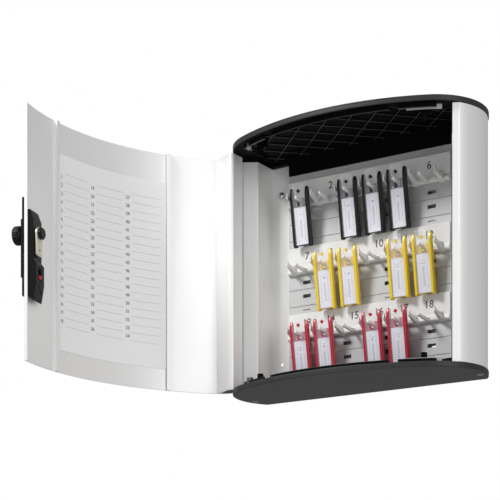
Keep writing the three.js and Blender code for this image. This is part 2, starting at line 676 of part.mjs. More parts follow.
function outerHousing() {
  const housing = box(-8.7, 8.7, -5, 1.9, -47.7, 12.9);
  const slots = DIAL_HEIGHTS.map((z) => box(-7.4, 7.4, -6, 3, z - 3.1, z + 3.1));
  return cut(solid(housing), ...slots, axleGroove(), barY(0, LOCK_Z, SPINDLE_RADIUS + GAP, -6, 3));
}

// The case on the inside of the door: its outline in (y, z), open where the dials and their axle run.
function innerCase() {
  const side = [
    [2.4, -66], [2.4, 22.4], [5.6, 22.4], [9.6, 12], [9.6, -30],
    [12.6, -34], [12.6, -54], [10.6, -66], [9.4, -72], [6, -70],
  ];
  const body = solid(prismAlongX(side, -11, 8.5));
  const dialBay = box(-7.6, 7.6, 0, 8.7, ...DIAL_BAND);
  const leverSlot = box(-3.3, 3.3, 10, 14, -49.4, -38.2);
  return cut(body, dialBay, axleGroove(), leverSlot, barY(0, LOCK_Z, SPINDLE_RADIUS + GAP, 0, 14));
}

// Knob and spindle, one piece: a domed grip outside and a plain shaft right through the lock.
function knob() {
  const profile = [
    [0, -15.9], [KNOB_RADIUS - 2, -15.9], [KNOB_RADIUS, -14.3], [KNOB_RADIUS, -9], [KNOB_RADIUS - 2.2, -5.4],
    [SPINDLE_RADIUS, -5.4], [SPINDLE_RADIUS, 16.6], [0, 16.6],
  ];
  return turnedY(profile).translate(0, 0, LOCK_Z);
}

// The cam hangs down when the lock is open, and turns towards the free edge to lock.
function cam() {
  const lever = [...arc(0, 0, 6.8, 180, 0, 20), [5.4, -22], [3.6, -23.4], [-3.6, -23.4], [-5.4, -22]];
  const plate = prism(lever, -12.8, -10.5).rotateX(Math.PI / 2).translate(0, 0, LOCK_Z);
  return cut(solid(plate), barY(0, LOCK_Z, SPINDLE_RADIUS + GAP, 9, 14));
}

function ringY(outer, inner, y0, y1, sides) {
  return cut(solid(barY(0, LOCK_Z, outer, y0, y1, sides)), barY(0, LOCK_Z, inner, y0 - 1, y1 + 1));
}

// A number wheel: ten flats round its rim.
function dial(z) {
  const rim = circle(0, DIAL_CENTRE_Y, DIAL_RADIUS, 36);
  return prism(rim, z - DIAL_WIDTH / 2, z + DIAL_WIDTH / 2, [circle(0, DIAL_CENTRE_Y, 1.8)]);
}

place(lock, "lock_outer_plate", outerPlate(), blackPlastic);
place(lock, "lock_housing", outerHousing(), blackPlastic);
place(lock, "lock_inner_case", innerCase(), blackPlastic);
place(lock, "dial_axle", barZ(0, DIAL_CENTRE_Y, 1.5, DIAL_BAND[0] - 1.8, DIAL_BAND[1] + 1.8, 16), steel);
place(lock, "lock_knob", knob(), blackPlastic);
place(lock, "lock_cam", cam(), brass);
place(lock, "cam_nut", ringY(6.5, SPINDLE_RADIUS + GAP, 13.1, 16.3, 6), blackPlastic);
place(lock, "code_lever", box(-3, 3, 10.4, 13.8, -48.9, -45), redPlastic);
DIAL_HEIGHTS.forEach((z, i) => {
  place(lock, `dial_${i + 1}`, dial(z), greyPlastic);
});

// ---- Catch rails ----

// Grey strips inside the lip at the lock end of each cap, which the closed door's corner bears on.
const RAIL_THICK = 2;
const RAIL_END_DEG = 70.4;
const railOffset = LIP_OFFSET + LIP_THICK + GAP;
const railArc = (offset) => [
  ...arc(END_CENTRE_X, END_CENTRE_Y, END_RADIUS - offset, -50, -TANGENT_DEG, 6),
  ...arc(0, FRONT_CENTRE_Y, FRONT_RADIUS - offset, -TANGENT_DEG, -RAIL_END_DEG, 2.5).slice(1),
];
const railOutline = [...railArc(railOffset), ...railArc(railOffset + RAIL_THICK).reverse()];
for (const [end, sign] of [["top", 1], ["bottom", -1]]) {
  const rail = prism(railOutline, LIP_BOTTOM - 1, CAP_UNDER - GAP);
  place(cabinet, `catch_rail_${end}`, rail, greyPlastic).scale.z = sign;
}

export default cabinet;
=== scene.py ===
"""Looks of the wall-hung key cabinet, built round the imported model.

Every piece is drawn in millimetres in the cabinet's frame (X right, -Y out of the wall, Z up) and becomes metres when
it is finished. The door and its lock are drawn closed, then swung open about the hinge as they stand in the frame.
"""
import json
import math

import bmesh
import bpy
from mathutils import Matrix, Vector

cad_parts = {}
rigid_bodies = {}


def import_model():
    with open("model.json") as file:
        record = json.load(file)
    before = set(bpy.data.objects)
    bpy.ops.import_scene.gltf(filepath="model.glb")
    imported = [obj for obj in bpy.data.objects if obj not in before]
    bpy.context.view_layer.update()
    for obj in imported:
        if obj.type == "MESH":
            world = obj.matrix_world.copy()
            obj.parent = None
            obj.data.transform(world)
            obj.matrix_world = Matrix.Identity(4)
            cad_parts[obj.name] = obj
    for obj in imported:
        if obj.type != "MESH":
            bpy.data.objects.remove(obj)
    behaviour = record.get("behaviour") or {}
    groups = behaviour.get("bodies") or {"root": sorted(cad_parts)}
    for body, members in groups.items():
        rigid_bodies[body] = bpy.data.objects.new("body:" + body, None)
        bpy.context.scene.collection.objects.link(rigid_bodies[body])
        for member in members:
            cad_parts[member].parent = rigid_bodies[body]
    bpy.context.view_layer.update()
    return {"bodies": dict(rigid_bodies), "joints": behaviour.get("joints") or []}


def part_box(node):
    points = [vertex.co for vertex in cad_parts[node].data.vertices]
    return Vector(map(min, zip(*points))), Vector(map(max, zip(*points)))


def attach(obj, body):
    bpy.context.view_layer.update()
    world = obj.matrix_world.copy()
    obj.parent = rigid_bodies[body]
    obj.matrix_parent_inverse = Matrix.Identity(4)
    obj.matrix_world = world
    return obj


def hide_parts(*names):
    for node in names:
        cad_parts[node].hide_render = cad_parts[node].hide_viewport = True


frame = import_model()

MM = 0.001
JOINTS = {joint["name"]: joint for joint in frame["joints"]}

# ---- Sizes shared with the frame ----

HALF_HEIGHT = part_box("top_cap")[1].z / MM
FRONT_RADIUS, FRONT_Y = 275.7, 157.7
END_RADIUS, END_X, END_Y = 62.0, 88.9, -36.5
TANGENT = 65.4
RIM = 6.0
CAP_UNDER = HALF_HEIGHT - RIM
LIP_BOTTOM, LIP_OFFSET, LIP_THICK = 129.6, 7.5, 2.0
RIB_PITCH, RIB_HEIGHT = 32.0, 1.8
RIB_LOW = HALF_HEIGHT - 3 - RIB_HEIGHT
BOSS_X, BOSS_Y, BOSS_END = 101.0, -75.0, 121.0
LIP_HALF_WIDTH, LIP_REAR = 118, -78
NOTCH_X, NOTCH_HALF_WIDTH = 77.2, 4.6
SOCKET_INSET = 0.4

WALL = 1.8
SKIN_RADIUS = END_RADIUS - 1.0
SKIN_END, TUBE_END = 133.7, 129.3
TUBE_X = 127.4
FACET_INNER = (TUBE_X, -38.3)
FACET_MIDDLE = (141.5, -47.2)
FACET_OUTER = (149.5, -42.5)
FLANGE_X, FLANGE_Y = 103.0, -7.0
FLANGE_SCREW_X, FLANGE_SCREW_Z = 115.0, 97.0
REBATE_OUTER = (138.8, -70.8)
REBATE_INNER = (133.1, -74.3)
PORT_X, PORT_Y = 141.0, -22.5

PLATE_HALF_WIDTH, PLATE_HALF_HEIGHT, PLATE_DEPTH = 102.0, 115.0, 12.0
GROOVE_PITCH, GROOVE_FIRST = 18.82, -110.22
PLATE_SKIN, PLATE_WEBS = 2, (-113, -75, -37, 1, 39, 77, 115)
SLOT_COLUMNS = (-78.6, -26.2, 26.2, 78.6)
SLOT_DROPS, SLOT_HALF_WIDTH, SLOT_HALF_HEIGHT, SLOT_DEPTH = (10.2, 25.6), 5, 2, 3
SLIT_HALF_WIDTH, SLIT_HALF_HEIGHT, SLIT_DEPTH = 4.5, 0.6, 1.2

STRIP_HALF_WIDTH, STRIP_HEIGHT, STRIP_FRONT = 101.5, 29.5, -14.5
ROWS = ("top", "middle", "bottom")
STRIP_BOTTOM = {row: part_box("hook_strip_" + row)[1].z / MM - STRIP_HEIGHT for row in ROWS}
HOOKS, HOOK_PITCH = 6, 30.7
HOOK_X = [(i - (HOOKS - 1) / 2) * HOOK_PITCH for i in range(HOOKS)]
DIVIDER_X = [(i - HOOKS / 2) * HOOK_PITCH for i in range(HOOKS + 1)]
DIVIDER_NOSE = 33.2
FIGURE_SIZE, FIGURE_Z = 11.6, 18.4
PAD_HALF_WIDTH, PAD_LOW, PAD_HIGH = 9, 0.9, 4.6

TAG_WIDTH, TAG_HEIGHT, TAG_DEPTH, TAG_RAIL = 23.0, 66.0, 6.4, 3.2
TAG_ABOVE_HOLE, TAG_TILT, TAG_SADDLE_Y, TAG_DROP = 12.5, 9.6, -31.0, 4.3
TAG_HOLE_WIDTH, TAG_HOLE_HEIGHT = 4.6, 9.0
TAG_COLOURS = ("black", "yellow", "red")

HINGE = Vector(JOINTS["door_hinge"]["pos_m"]) / MM
DOOR_OPEN = -JOINTS["door_hinge"]["range_deg"][0]
DOOR_RADIUS, DOOR_Y, DOOR_SKIN = 258.3, 142.9, 2.0
DOOR_INNER = DOOR_RADIUS - DOOR_SKIN
DOOR_LOW, DOOR_HIGH = (corner.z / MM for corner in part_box("door_panel"))
DOOR_FREE, DOOR_HINGE_SIDE, SHEET = 31.4, 31.2, 17.4
SHEET_LOW, SHEET_HIGH = (corner.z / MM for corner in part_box("index_sheet"))
INDEX_COLUMNS, INDEX_ROWS, INDEX_COLUMN_PITCH = 3, 18, 48.3
RULE_START, RULE_STEP, RULE_STEPS = 5.5, 4.6, 8

LOCK_DEG = 29.0
LOCK_Z = JOINTS["lock_turn"]["pos_m"][2] / MM
DIAL_RADIUS, DIAL_Y, DIAL_FIGURES = 7.0, 1.2, 10
DIAL_Z = [JOINTS[f"dial_{i}_turn"]["pos_m"][2] / MM for i in (1, 2, 3, 4)]


SHARP_ANGLE = 34


# ---- Drawing solids ----

def arc(cx, cy, radius, start, end, step=2.0):
    """Points along an arc, about every `step` degrees."""
    count = max(1, round(abs(end - start) / step))
    angles = [math.radians(start + (end - start) * i / count) for i in range(count + 1)]
    return [(cx + radius * math.cos(a), cy + radius * math.sin(a)) for a in angles]


def circle(cx, cy, radius, sides=32):
    return arc(cx, cy, radius, 0, 360 - 360 / sides, 360 / sides)


def mirrored(points):
    return [(-x, y) for x, y in reversed(points)]


def solid(bm):
    """A scene object from a closed bmesh, with its faces turned outwards."""
    bmesh.ops.recalc_face_normals(bm, faces=bm.faces)
    mesh = bpy.data.meshes.new("solid")
    bm.to_mesh(mesh)
    bm.free()
    obj = bpy.data.objects.new("solid", mesh)
    bpy.context.scene.collection.objects.link(obj)
    return obj


def loft(rings):
    """A closed solid through rings of points that all have the same count."""
    bm = bmesh.new()
    made = [[bm.verts.new(point) for point in ring] for ring in rings]
    bm.faces.new(made[0])
    bm.faces.new(made[-1])
    for low, high in zip(made, made[1:]):
        for i in range(len(low)):
            j = (i + 1) % len(low)
            bm.faces.new((low[i], low[j], high[j], high[i]))
    return solid(bm)


def prism(outline, z0, z1):
    return loft([[(x, y, z) for x, y in outline] for z in (z0, z1)])


def prism_x(outline, x0, x1):
    """A prism along x, from (y, z) points."""
    return loft([[(x, y, z) for y, z in outline] for x in (x0, x1)])


def prism_y(outline, y0, y1):
    """A prism along y, from (x, z) points."""
    return loft([[(x, y, z) for x, z in outline] for y in (y0, y1)])


def box(x0, x1, y0, y1, z0, z1):
    return prism([(x0, y0), (x1, y0), (x1, y1), (x0, y1)], z0, z1)


def rod(x, y, radius, z0, z1, sides=32):
    return prism(circle(x, y, radius, sides), z0, z1)


def rod_y(x, z, radius, y0, y1, sides=32):
    return prism_y(circle(x, z, radius, sides), y0, y1)


def turned_y(profile, sides=48):
    """A solid of revolution about the y axis, from (radius, y) points that leave out the axis itself."""
    return loft([[(x, y, z) for x, z in circle(0, 0, radius, sides)] for radius, y in profile])


def moved(obj, matrix):
    obj.data.transform(matrix)
    return obj


def shifted(obj, x=0.0, y=0.0, z=0.0):
    return moved(obj, Matrix.Translation((x, y, z)))


def spun(obj, degrees, axis="Z"):
    return moved(obj, Matrix.Rotation(math.radians(degrees), 4, axis))


def copied(obj):
    twin = obj.copy()
    twin.data = obj.data.copy()
    bpy.context.scene.collection.objects.link(twin)
    return twin


def bake_modifiers(obj):
    """Gives obj the mesh that its modifiers make, and takes the modifiers away."""
    graph = bpy.context.evaluated_depsgraph_get()
    mesh = bpy.data.meshes.new_from_object(obj.evaluated_get(graph))
    obj.modifiers.clear()
    obj.data = mesh
    return obj


def combine(operation, first, others):
    for other in others:
        modifier = first.modifiers.new(operation, "BOOLEAN")
        modifier.operation = operation
        modifier.solver = "MANIFOLD"
        modifier.object = other
    bake_modifiers(first)
    for other in others:
        bpy.data.objects.remove(other)
    return first


def join(first, *others):
    return combine("UNION", first, others)


def cut(first, *others):
    return combine("DIFFERENCE", first, others)


def common(first, *others):
    return combine("INTERSECT", first, others)


def soften(obj, width, segments=2, angle=32.0):
    """Rounds every edge that turns by more than `angle`."""
    modifier = obj.modifiers.new("soften", "BEVEL")
    modifier.width = width
    modifier.segments = segments
    modifier.limit_method = "ANGLE"
    modifier.angle_limit = math.radians(angle)
    modifier.use_clamp_overlap = False
    modifier.miter_outer = "MITER_ARC"
    return bake_modifiers(obj)


# ---- Finishing pieces ----

swing = (Matrix.Translation((HINGE.x, HINGE.y, 0)) @ Matrix.Rotation(math.radians(-DOOR_OPEN), 4, "Z")
         @ Matrix.Translation((-HINGE.x, -HINGE.y, 0)))


def on_door(radius, degrees):
    """Point on a cylinder about the closed door's own centre, its angle counted from the middle of the front."""
    a = math.radians(degrees)
    return radius * math.sin(a), DOOR_Y - radius * math.cos(a)


at_lock = swing @ Matrix.Translation((*on_door(DOOR_RADIUS, LOCK_DEG), 0)) @ Matrix.Rotation(
    math.radians(LOCK_DEG), 4, "Z")


def finish(name, obj, body, look, stands_for=(), place=None, flat=False):
    """Names a drawn solid, puts it in place in metres, and gives it its body and its material."""
    obj.name = name
    obj.data.name = name
    if place is not None:
        obj.data.transform(place)
        if place.determinant() < 0:
            obj.data.flip_normals()
    obj.data.transform(Matrix.Scale(MM, 4))
    slots = obj.data.materials
    for i, one in enumerate(look if isinstance(look, (list, tuple)) else [look]):
        if i < len(slots):
            slots[i] = one
        else:
            slots.append(one)
    if not flat:
        obj.data.shade_smooth()
        obj.data.set_sharp_from_angle(angle=math.radians(SHARP_ANGLE))
        obj.modifiers.new("face_weights", "WEIGHTED_NORMAL").keep_sharp = True
    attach(obj, body)
    if stands_for:
        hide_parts(*stands_for)
    return obj


# ---- Materials ----

def surface(name, colour, roughness, metallic=0.0, tint=0.05, rough_spread=0.06, scale=(400, 400, 400), bump=0.0,
            fine=(3000, 3000, 3000), alpha=1.0, coat=0.0, specular=0.5, edge=0.0):
    """A Principled material. Slow noise at `scale` shifts colour and roughness, fine noise at `fine` makes the bump.

    Scales are in cycles per metre. `edge` paints a highlight: it lightens convex edges, found by pointiness.
    """
    material = bpy.data.materials.new(name)
    material.use_nodes = True
    nodes, links = material.node_tree.nodes, material.node_tree.links
    shader = nodes["Principled BSDF"]
    shader.inputs["Metallic"].default_value = metallic
    shader.inputs["Coat Weight"].default_value = coat
    shader.inputs["Specular IOR Level"].default_value = specular
    shader.inputs["Alpha"].default_value = alpha
    place = nodes.new("ShaderNodeTexCoord")

    def noise(cycles, detail):
        mapping = nodes.new("ShaderNodeMapping")
        mapping.inputs["Scale"].default_value = cycles
        links.new(place.outputs["Object"], mapping.inputs["Vector"])
        texture = nodes.new("ShaderNodeTexNoise")
        texture.inputs["Scale"].default_value = 1.0
        texture.inputs["Detail"].default_value = detail
        links.new(mapping.outputs["Vector"], texture.inputs["Vector"])
        return texture.outputs["Fac"]

    slow = noise(scale, 3.0)
    shade = nodes.new("ShaderNodeMix")
    shade.data_type = "RGBA"
    shade.inputs["A"].default_value = (*(c * (1 - tint) for c in colour), 1)
    shade.inputs["B"].default_value = (*(min(1, c * (1 + tint)) for c in colour), 1)
    links.new(slow, shade.inputs["Factor"])
    shown = shade.outputs["Result"]
    # Painted highlight: a lighter colour on convex edges, where the mesh is pointy
    if edge:
        geometry = nodes.new("ShaderNodeNewGeometry")
        ramp = nodes.new("ShaderNodeMapRange")
        ramp.inputs["From Min"].default_value = 0.52
        ramp.inputs["From Max"].default_value = 0.60
        ramp.inputs["To Max"].default_value = edge
        links.new(geometry.outputs["Pointiness"], ramp.inputs["Value"])
        edge_highlight = nodes.new("ShaderNodeMix")
        edge_highlight.data_type = "RGBA"
        edge_highlight.inputs["B"].default_value = (*(min(1, c * 1.6 + 0.06) for c in colour), 1)
        links.new(ramp.outputs["Result"], edge_highlight.inputs["Factor"])
        links.new(shown, edge_highlight.inputs["A"])
        shown = edge_highlight.outputs["Result"]
    links.new(shown, shader.inputs["Base Color"])
    spread = nodes.new("ShaderNodeMapRange")
    spread.inputs["To Min"].default_value = roughness - rough_spread
    spread.inputs["To Max"].default_value = roughness + rough_spread
    links.new(slow, spread.inputs["Value"])
    links.new(spread.outputs["Result"], shader.inputs["Roughness"])
    if bump:
        relief = nodes.new("ShaderNodeBump")
        relief.inputs["Strength"].default_value = bump
        relief.inputs["Distance"].default_value = 0.1 * MM
        links.new(noise(fine, 2.0), relief.inputs["Height"])
        links.new(relief.outputs["Normal"], shader.inputs["Normal"])
    return material


# Drawn along z: the die lines of an extrusion run up the cabinet
ALONG_Z = (1800, 1800, 12)
ALONG_X = (12, 1800, 1800)
skin_metal = surface("satin_anodised", (0.84, 0.837, 0.825), 0.38, 0.40, 0.03, 0.05, ALONG_Z, 0.10, (5200, 5200, 60))
# Painted light: the door's copy of the satin anodised skin is whiter and less metallic, so its inner face reads
# bright where the lamps barely reach it
door_metal_painted_light = surface("satin_anodised_door_painted_light", (0.86, 0.858, 0.85), 0.42, 0.22, 0.025, 0.05, ALONG_Z, 0.08,
                     (5200, 5200, 60))
plate_metal = surface("matt_anodised", (0.50, 0.505, 0.50), 0.48, 0.35, 0.04, 0.05, ALONG_X, 0.08, (60, 5200, 5200))
# edge=0.3 paints a highlight on the caps' convex edges
charcoal = surface("charcoal_moulding", (0.020, 0.020, 0.0215), 0.50, tint=0.10, bump=0.35, fine=(2600, 2600, 2600),
                   edge=0.3, specular=0.35)
# Painted shade: the caps' hidden inner side gets this near-black, barely reflective copy of the charcoal moulding
painted_cap_shade = surface("cap_inside_painted_shade", (0.0022, 0.0022, 0.0024), 0.6, tint=0.12, bump=0.3, fine=(2600, 2600, 2600),
                     specular=0.06)
# Painted highlight: a lighter grey on the lip's lower edge
lip_highlight = surface("painted_lip_highlight", (0.10, 0.10, 0.105), 0.42, tint=0.12, bump=0.2)
# Painted highlight: a lighter grey on the undersides of the cap's ribs
rib_highlight = surface("painted_rib_highlight", (0.04, 0.04, 0.042), 0.45, tint=0.12, bump=0.2)
# edge=0.2 paints a highlight on the lock's convex edges
lock_black = surface("black_moulding", (0.004, 0.004, 0.0045), 0.36, tint=0.10, bump=0.2, fine=(3200, 3200, 3200),
                     edge=0.2, specular=0.12)
white_moulding = surface("white_moulding", (0.74, 0.735, 0.72), 0.42, tint=0.02, bump=0.08)
grey_moulding = surface("grey_moulding", (0.33, 0.34, 0.35), 0.5, tint=0.06, bump=0.15)
red_moulding = surface("red_moulding", (0.42, 0.02, 0.035), 0.4, tint=0.06, bump=0.1)
zinc = surface("zinc_plate", (0.60, 0.60, 0.61), 0.3, 1.0, 0.10, 0.10, (700, 700, 700), 0.1)
dull_brass = surface("dull_brass", (0.66, 0.63, 0.50), 0.42, 0.5, 0.08, 0.1, (500, 500, 160), 0.15)
card = surface("printed_card", (0.93, 0.93, 0.915), 0.8, tint=0.015, bump=0.12, fine=(5000, 5000, 5000))
ink = surface("grey_ink", (0.085, 0.078, 0.072), 0.7, tint=0.15)
pale_ink = surface("pale_ink", (0.36, 0.36, 0.38), 0.7, tint=0.10)
label_card = surface("label_card", (0.80, 0.79, 0.86), 0.75, tint=0.015, bump=0.1)
clear = surface("clear_moulding", (0.88, 0.89, 0.91), 0.10, tint=0.01, rough_spread=0.03, alpha=0.13, coat=0.3)
clear_sheet = surface("clear_sheet", (0.93, 0.94, 0.95), 0.14, tint=0.01, rough_spread=0.03, alpha=0.10, coat=0.2)
tag_plastic = {
    "black": surface("tag_black", (0.004, 0.004, 0.005), 0.34, tint=0.1, coat=0.1, bump=0.05, specular=0.35),
    "yellow": surface("tag_yellow", (0.82, 0.58, 0.015), 0.32, tint=0.05, coat=0.3, bump=0.05),
    "red": surface("tag_red", (0.46, 0.008, 0.035), 0.32, tint=0.08, coat=0.3, bump=0.05),
}
tag_window = {
    "black": surface("tag_window_black", (0.025, 0.025, 0.03), 0.25, tint=0.2, coat=0.3),
    "yellow": surface("tag_window_yellow", (0.86, 0.62, 0.13), 0.25, tint=0.06, coat=0.3),
    "red": surface("tag_window_red", (0.50, 0.08, 0.15), 0.25, tint=0.10, coat=0.3),
}


# ---- Caps ----

def cap_outline(offset, back=0.0):
    """The cap's plan moved inwards by `offset` and closed by a straight back."""
    radius = END_RADIUS - offset
    rear = math.degrees(math.asin((back - END_Y) / radius))
    right = arc(END_X, END_Y, radius, rear, -TANGENT)
    front = arc(0, FRONT_Y, FRONT_RADIUS - offset, -TANGENT, TANGENT - 180, 1.0)
    return right + front[1:-1] + mirrored(right)


def bay(offset, half_width, z0, z1):
    """The cabinet's open space in plan, inside the front lip and between the side profiles."""
    return common(prism(cap_outline(offset, -15), z0, z1), box(-half_width, half_width, -200, -13.6, z0 - 1, z1 + 1))


def socket_outline():
    """Plan of the block that plugs into the end of a side profile."""
    skin = arc(END_X, END_Y, SKIN_RADIUS - WALL - 0.3, 33, -5, 4)
    inner = TUBE_X + SOCKET_INSET
    return skin + [(FACET_MIDDLE[0], FACET_MIDDLE[1] + 2 * SOCKET_INSET), (inner, FACET_INNER[1]), (inner, -4)]


def diamond_ribs(z0, z1):
    """Two crossing sets of thin ribs at 45 degrees."""
    ribs = []
    for i in range(-5, 6):
        for turn in (45, -45):
            rib = spun(box(-0.5, 0.5, -150, 150, z0, z1), turn)
            ribs.append(shifted(rib, i * RIB_PITCH, END_Y))
    return join(*ribs)


def corner_boss(x):
    """Screw boss with two crossed fins at its root."""
    root = HALF_HEIGHT - 1
    fins = [shifted(spun(box(-8.5, 8.5, -0.6, 0.6, LIP_BOTTOM + 1, root), turn), x, BOSS_Y) for turn in (30, 120)]
    return cut(join(rod(x, BOSS_Y, 3.4, BOSS_END, root), *fins), rod(x, BOSS_Y, 1.3, BOSS_END - 1, BOSS_END + 9, 16))


def make_cap():
    """The top cap; the bottom one is its mirror image."""
    underside = HALF_HEIGHT - 3
    top = CAP_UNDER + 1
    shell = soften(prism(cap_outline(0), CAP_UNDER, HALF_HEIGHT), 0.9, 3)
    recess = bay(LIP_OFFSET + LIP_THICK, 120, CAP_UNDER - 1, underside)
    ribs = common(diamond_ribs(underside - RIB_HEIGHT, underside + 1), copied(recess))
    lip = cut(bay(LIP_OFFSET, LIP_HALF_WIDTH, LIP_BOTTOM, top),
              bay(LIP_OFFSET + LIP_THICK, LIP_HALF_WIDTH, LIP_BOTTOM - 1, top + 1))
    lip = common(lip, box(-LIP_HALF_WIDTH, LIP_HALF_WIDTH, -150, LIP_REAR, LIP_BOTTOM - 1, top + 2))
    notches = [box(x - NOTCH_HALF_WIDTH, x + NOTCH_HALF_WIDTH, -150, LIP_REAR, LIP_BOTTOM - 1, CAP_UNDER + 2)
               for x in (-NOTCH_X, NOTCH_X)]
    socket = socket_outline()
    cap = join(
        cut(shell, recess), ribs, cut(lip, *notches), prism(socket, LIP_BOTTOM, top),
        prism(mirrored(socket), LIP_BOTTOM, top),
        box(-PLATE_HALF_WIDTH, PLATE_HALF_WIDTH, -13, -10, PLATE_HALF_HEIGHT + 0.3, top),
        box(-TUBE_X, TUBE_X, -13, -4, LIP_BOTTOM, top), corner_boss(-BOSS_X), corner_boss(BOSS_X),
        box(-111, -105, -87.5, -83.5, 126, top))
    # A parting line round the front of the rim
    seam_band = cut(prism(cap_outline(-1), HALF_HEIGHT - 1.9, HALF_HEIGHT - 1.5),
                    prism(cap_outline(0.3), HALF_HEIGHT - 3, HALF_HEIGHT))
    seam = common(seam_band, box(-86, 86, -150, -80, 120, 150))
    holes = []
    for x in (-PORT_X, PORT_X):
        holes.append(rod(x, PORT_Y, 4.3, HALF_HEIGHT - 3.4, HALF_HEIGHT + 1))
        holes.append(rod(x, PORT_Y, 2.4, LIP_BOTTOM - 1, HALF_HEIGHT))
    cut(cap, seam, *holes)
    return soften(cap, 0.22, 2)


def cap_depth(x, y):
    """How far a point in plan lies inside the cap's outline."""
    if abs(x) < FRONT_RADIUS * math.cos(math.radians(TANGENT)):
        return FRONT_RADIUS - math.hypot(x, y - FRONT_Y)
    return END_RADIUS - math.hypot(abs(x) - END_X, y - END_Y)


def shade_cap_inside(cap):
    """Gives the cap's hidden side the second material, a near-black painted shade; the lip's lower edge the third and
    the ribs' undersides the fourth, both painted lighter as highlights.
    """
    for polygon in cap.data.polygons:
        x, y, z = polygon.center
        # inside: faces that take the painted shade
        inside = z < HALF_HEIGHT - 2.5 and cap_depth(x, y) > 1.2
        # on_lip: the lip's lower edge, painted lighter as a highlight
        on_lip = inside and z < LIP_BOTTOM + 0.5 and y < LIP_REAR and abs(cap_depth(x, y) - LIP_OFFSET) < 2.4
        # on_rib: the ribs' undersides, painted lighter as a highlight
        on_rib = inside and abs(z - RIB_LOW) < 0.3 and cap_depth(x, y) > LIP_OFFSET + LIP_THICK
        polygon.material_index = 2 if on_lip else 3 if on_rib else int(inside)


def build_caps():
    cap = make_cap()
    looks = [charcoal, painted_cap_shade, lip_highlight, rib_highlight]
    for look in looks:
        cap.data.materials.append(look)
    shade_cap_inside(cap)
    lower = copied(cap)
    finish("top_cap_moulding", cap, "cabinet", looks, ["top_cap"])
    upside_down = Matrix.Scale(-1, 4, (0, 0, 1))
    finish("bottom_cap_moulding", lower, "cabinet", looks, ["bottom_cap"], upside_down)


def cross_recess(radius, y0, y1, width=0.8):
    bars = [box(-radius, radius, y0, y1, -width / 2, width / 2), box(-width / 2, width / 2, y0, y1, -radius, radius)]
    return join(*bars)


def build_cap_screws():
    """Countersunk heads, sunk just below the caps' faces."""
    top = HALF_HEIGHT - 0.3
    profile = [(1.9, 0), (1.9, 20.6), (3.8, 23.4), (3.8, 23.8), (3.4, 24.0)]
    blank = cut(turned_y(profile, 32), cross_recess(2.3, 22.6, 25))
    for end, sign in (("top", 1), ("bottom", -1)):
        for side, x in (("left", -PORT_X), ("right", PORT_X)):
            name = f"cap_screw_{end}_{side}"
            place = Matrix.Translation((x, PORT_Y, sign * (top - 24))) @ Matrix.Rotation(sign * math.pi / 2, 4, "X")
            finish(name + "_head", copied(blank), "cabinet", zinc, [name], place)
    bpy.data.objects.remove(blank)


# ---- Side profiles ----

def skin_degrees(point):
    return math.degrees(math.atan2(point[1] - END_Y, point[0] - END_X))


def side_profile(front_degrees, extras):
    """The right-hand profile: curved skin, box section behind it, flange for the back plate, screw port."""
    facet = skin_degrees(FACET_OUTER) + 2
    rear = END_X + SKIN_RADIUS * math.cos(math.radians(35.5))
    outside = [(rear, -1), *arc(END_X, END_Y, SKIN_RADIUS, 32, facet), FACET_OUTER, FACET_MIDDLE, FACET_INNER,
               (TUBE_X, FLANGE_Y), (FLANGE_X, FLANGE_Y), (FLANGE_X, FLANGE_Y + WALL), (TUBE_X, FLANGE_Y + WALL),
               (TUBE_X, -1)]
    inside = [*arc(END_X, END_Y, SKIN_RADIUS - WALL, 31, facet), (FACET_MIDDLE[0], FACET_MIDDLE[1] + WALL * 1.2),
              (TUBE_X + WALL, FACET_INNER[1] + WALL * 0.6), (TUBE_X + WALL, -1 - WALL), (rear - 2.4, -1 - WALL)]
    skin = (arc(END_X, END_Y, SKIN_RADIUS, 35.5, front_degrees)
            + arc(END_X, END_Y, SKIN_RADIUS - WALL, front_degrees, 35.5))
    tube = cut(prism(outside, -TUBE_END, TUBE_END), prism(inside, -TUBE_END - 1, TUBE_END + 1))
    profile = join(tube, rod(PORT_X, PORT_Y, 5.5, -TUBE_END, TUBE_END), prism(skin, -SKIN_END, SKIN_END), *extras)
    holes = [rod_y(FLANGE_SCREW_X, z, 2.1, -10, 0, 24) for z in (-FLANGE_SCREW_Z, FLANGE_SCREW_Z)]
    cut(profile, rod(PORT_X, PORT_Y, 2.2, -TUBE_END - 1, TUBE_END + 1, 24), *holes)
    return soften(profile, 0.2, 2)


def build_side_profiles():
    rebate = [REBATE_OUTER, REBATE_INNER, (REBATE_INNER[0] - 0.9, REBATE_INNER[1] + 1.5),
              (REBATE_OUTER[0] - 1.7, REBATE_OUTER[1] + 2.4)]
    right = side_profile(skin_degrees(REBATE_OUTER), [prism(rebate, -SKIN_END, SKIN_END)])
    finish("right_profile", right, "cabinet", skin_metal, ["side_profile_right"])
    left = side_profile(skin_degrees(FACET_OUTER), [])
    finish("left_profile", left, "cabinet", skin_metal, ["side_profile_left"],
           Matrix.Scale(-1, 4, (1, 0, 0)))


# ---- Back plate ----

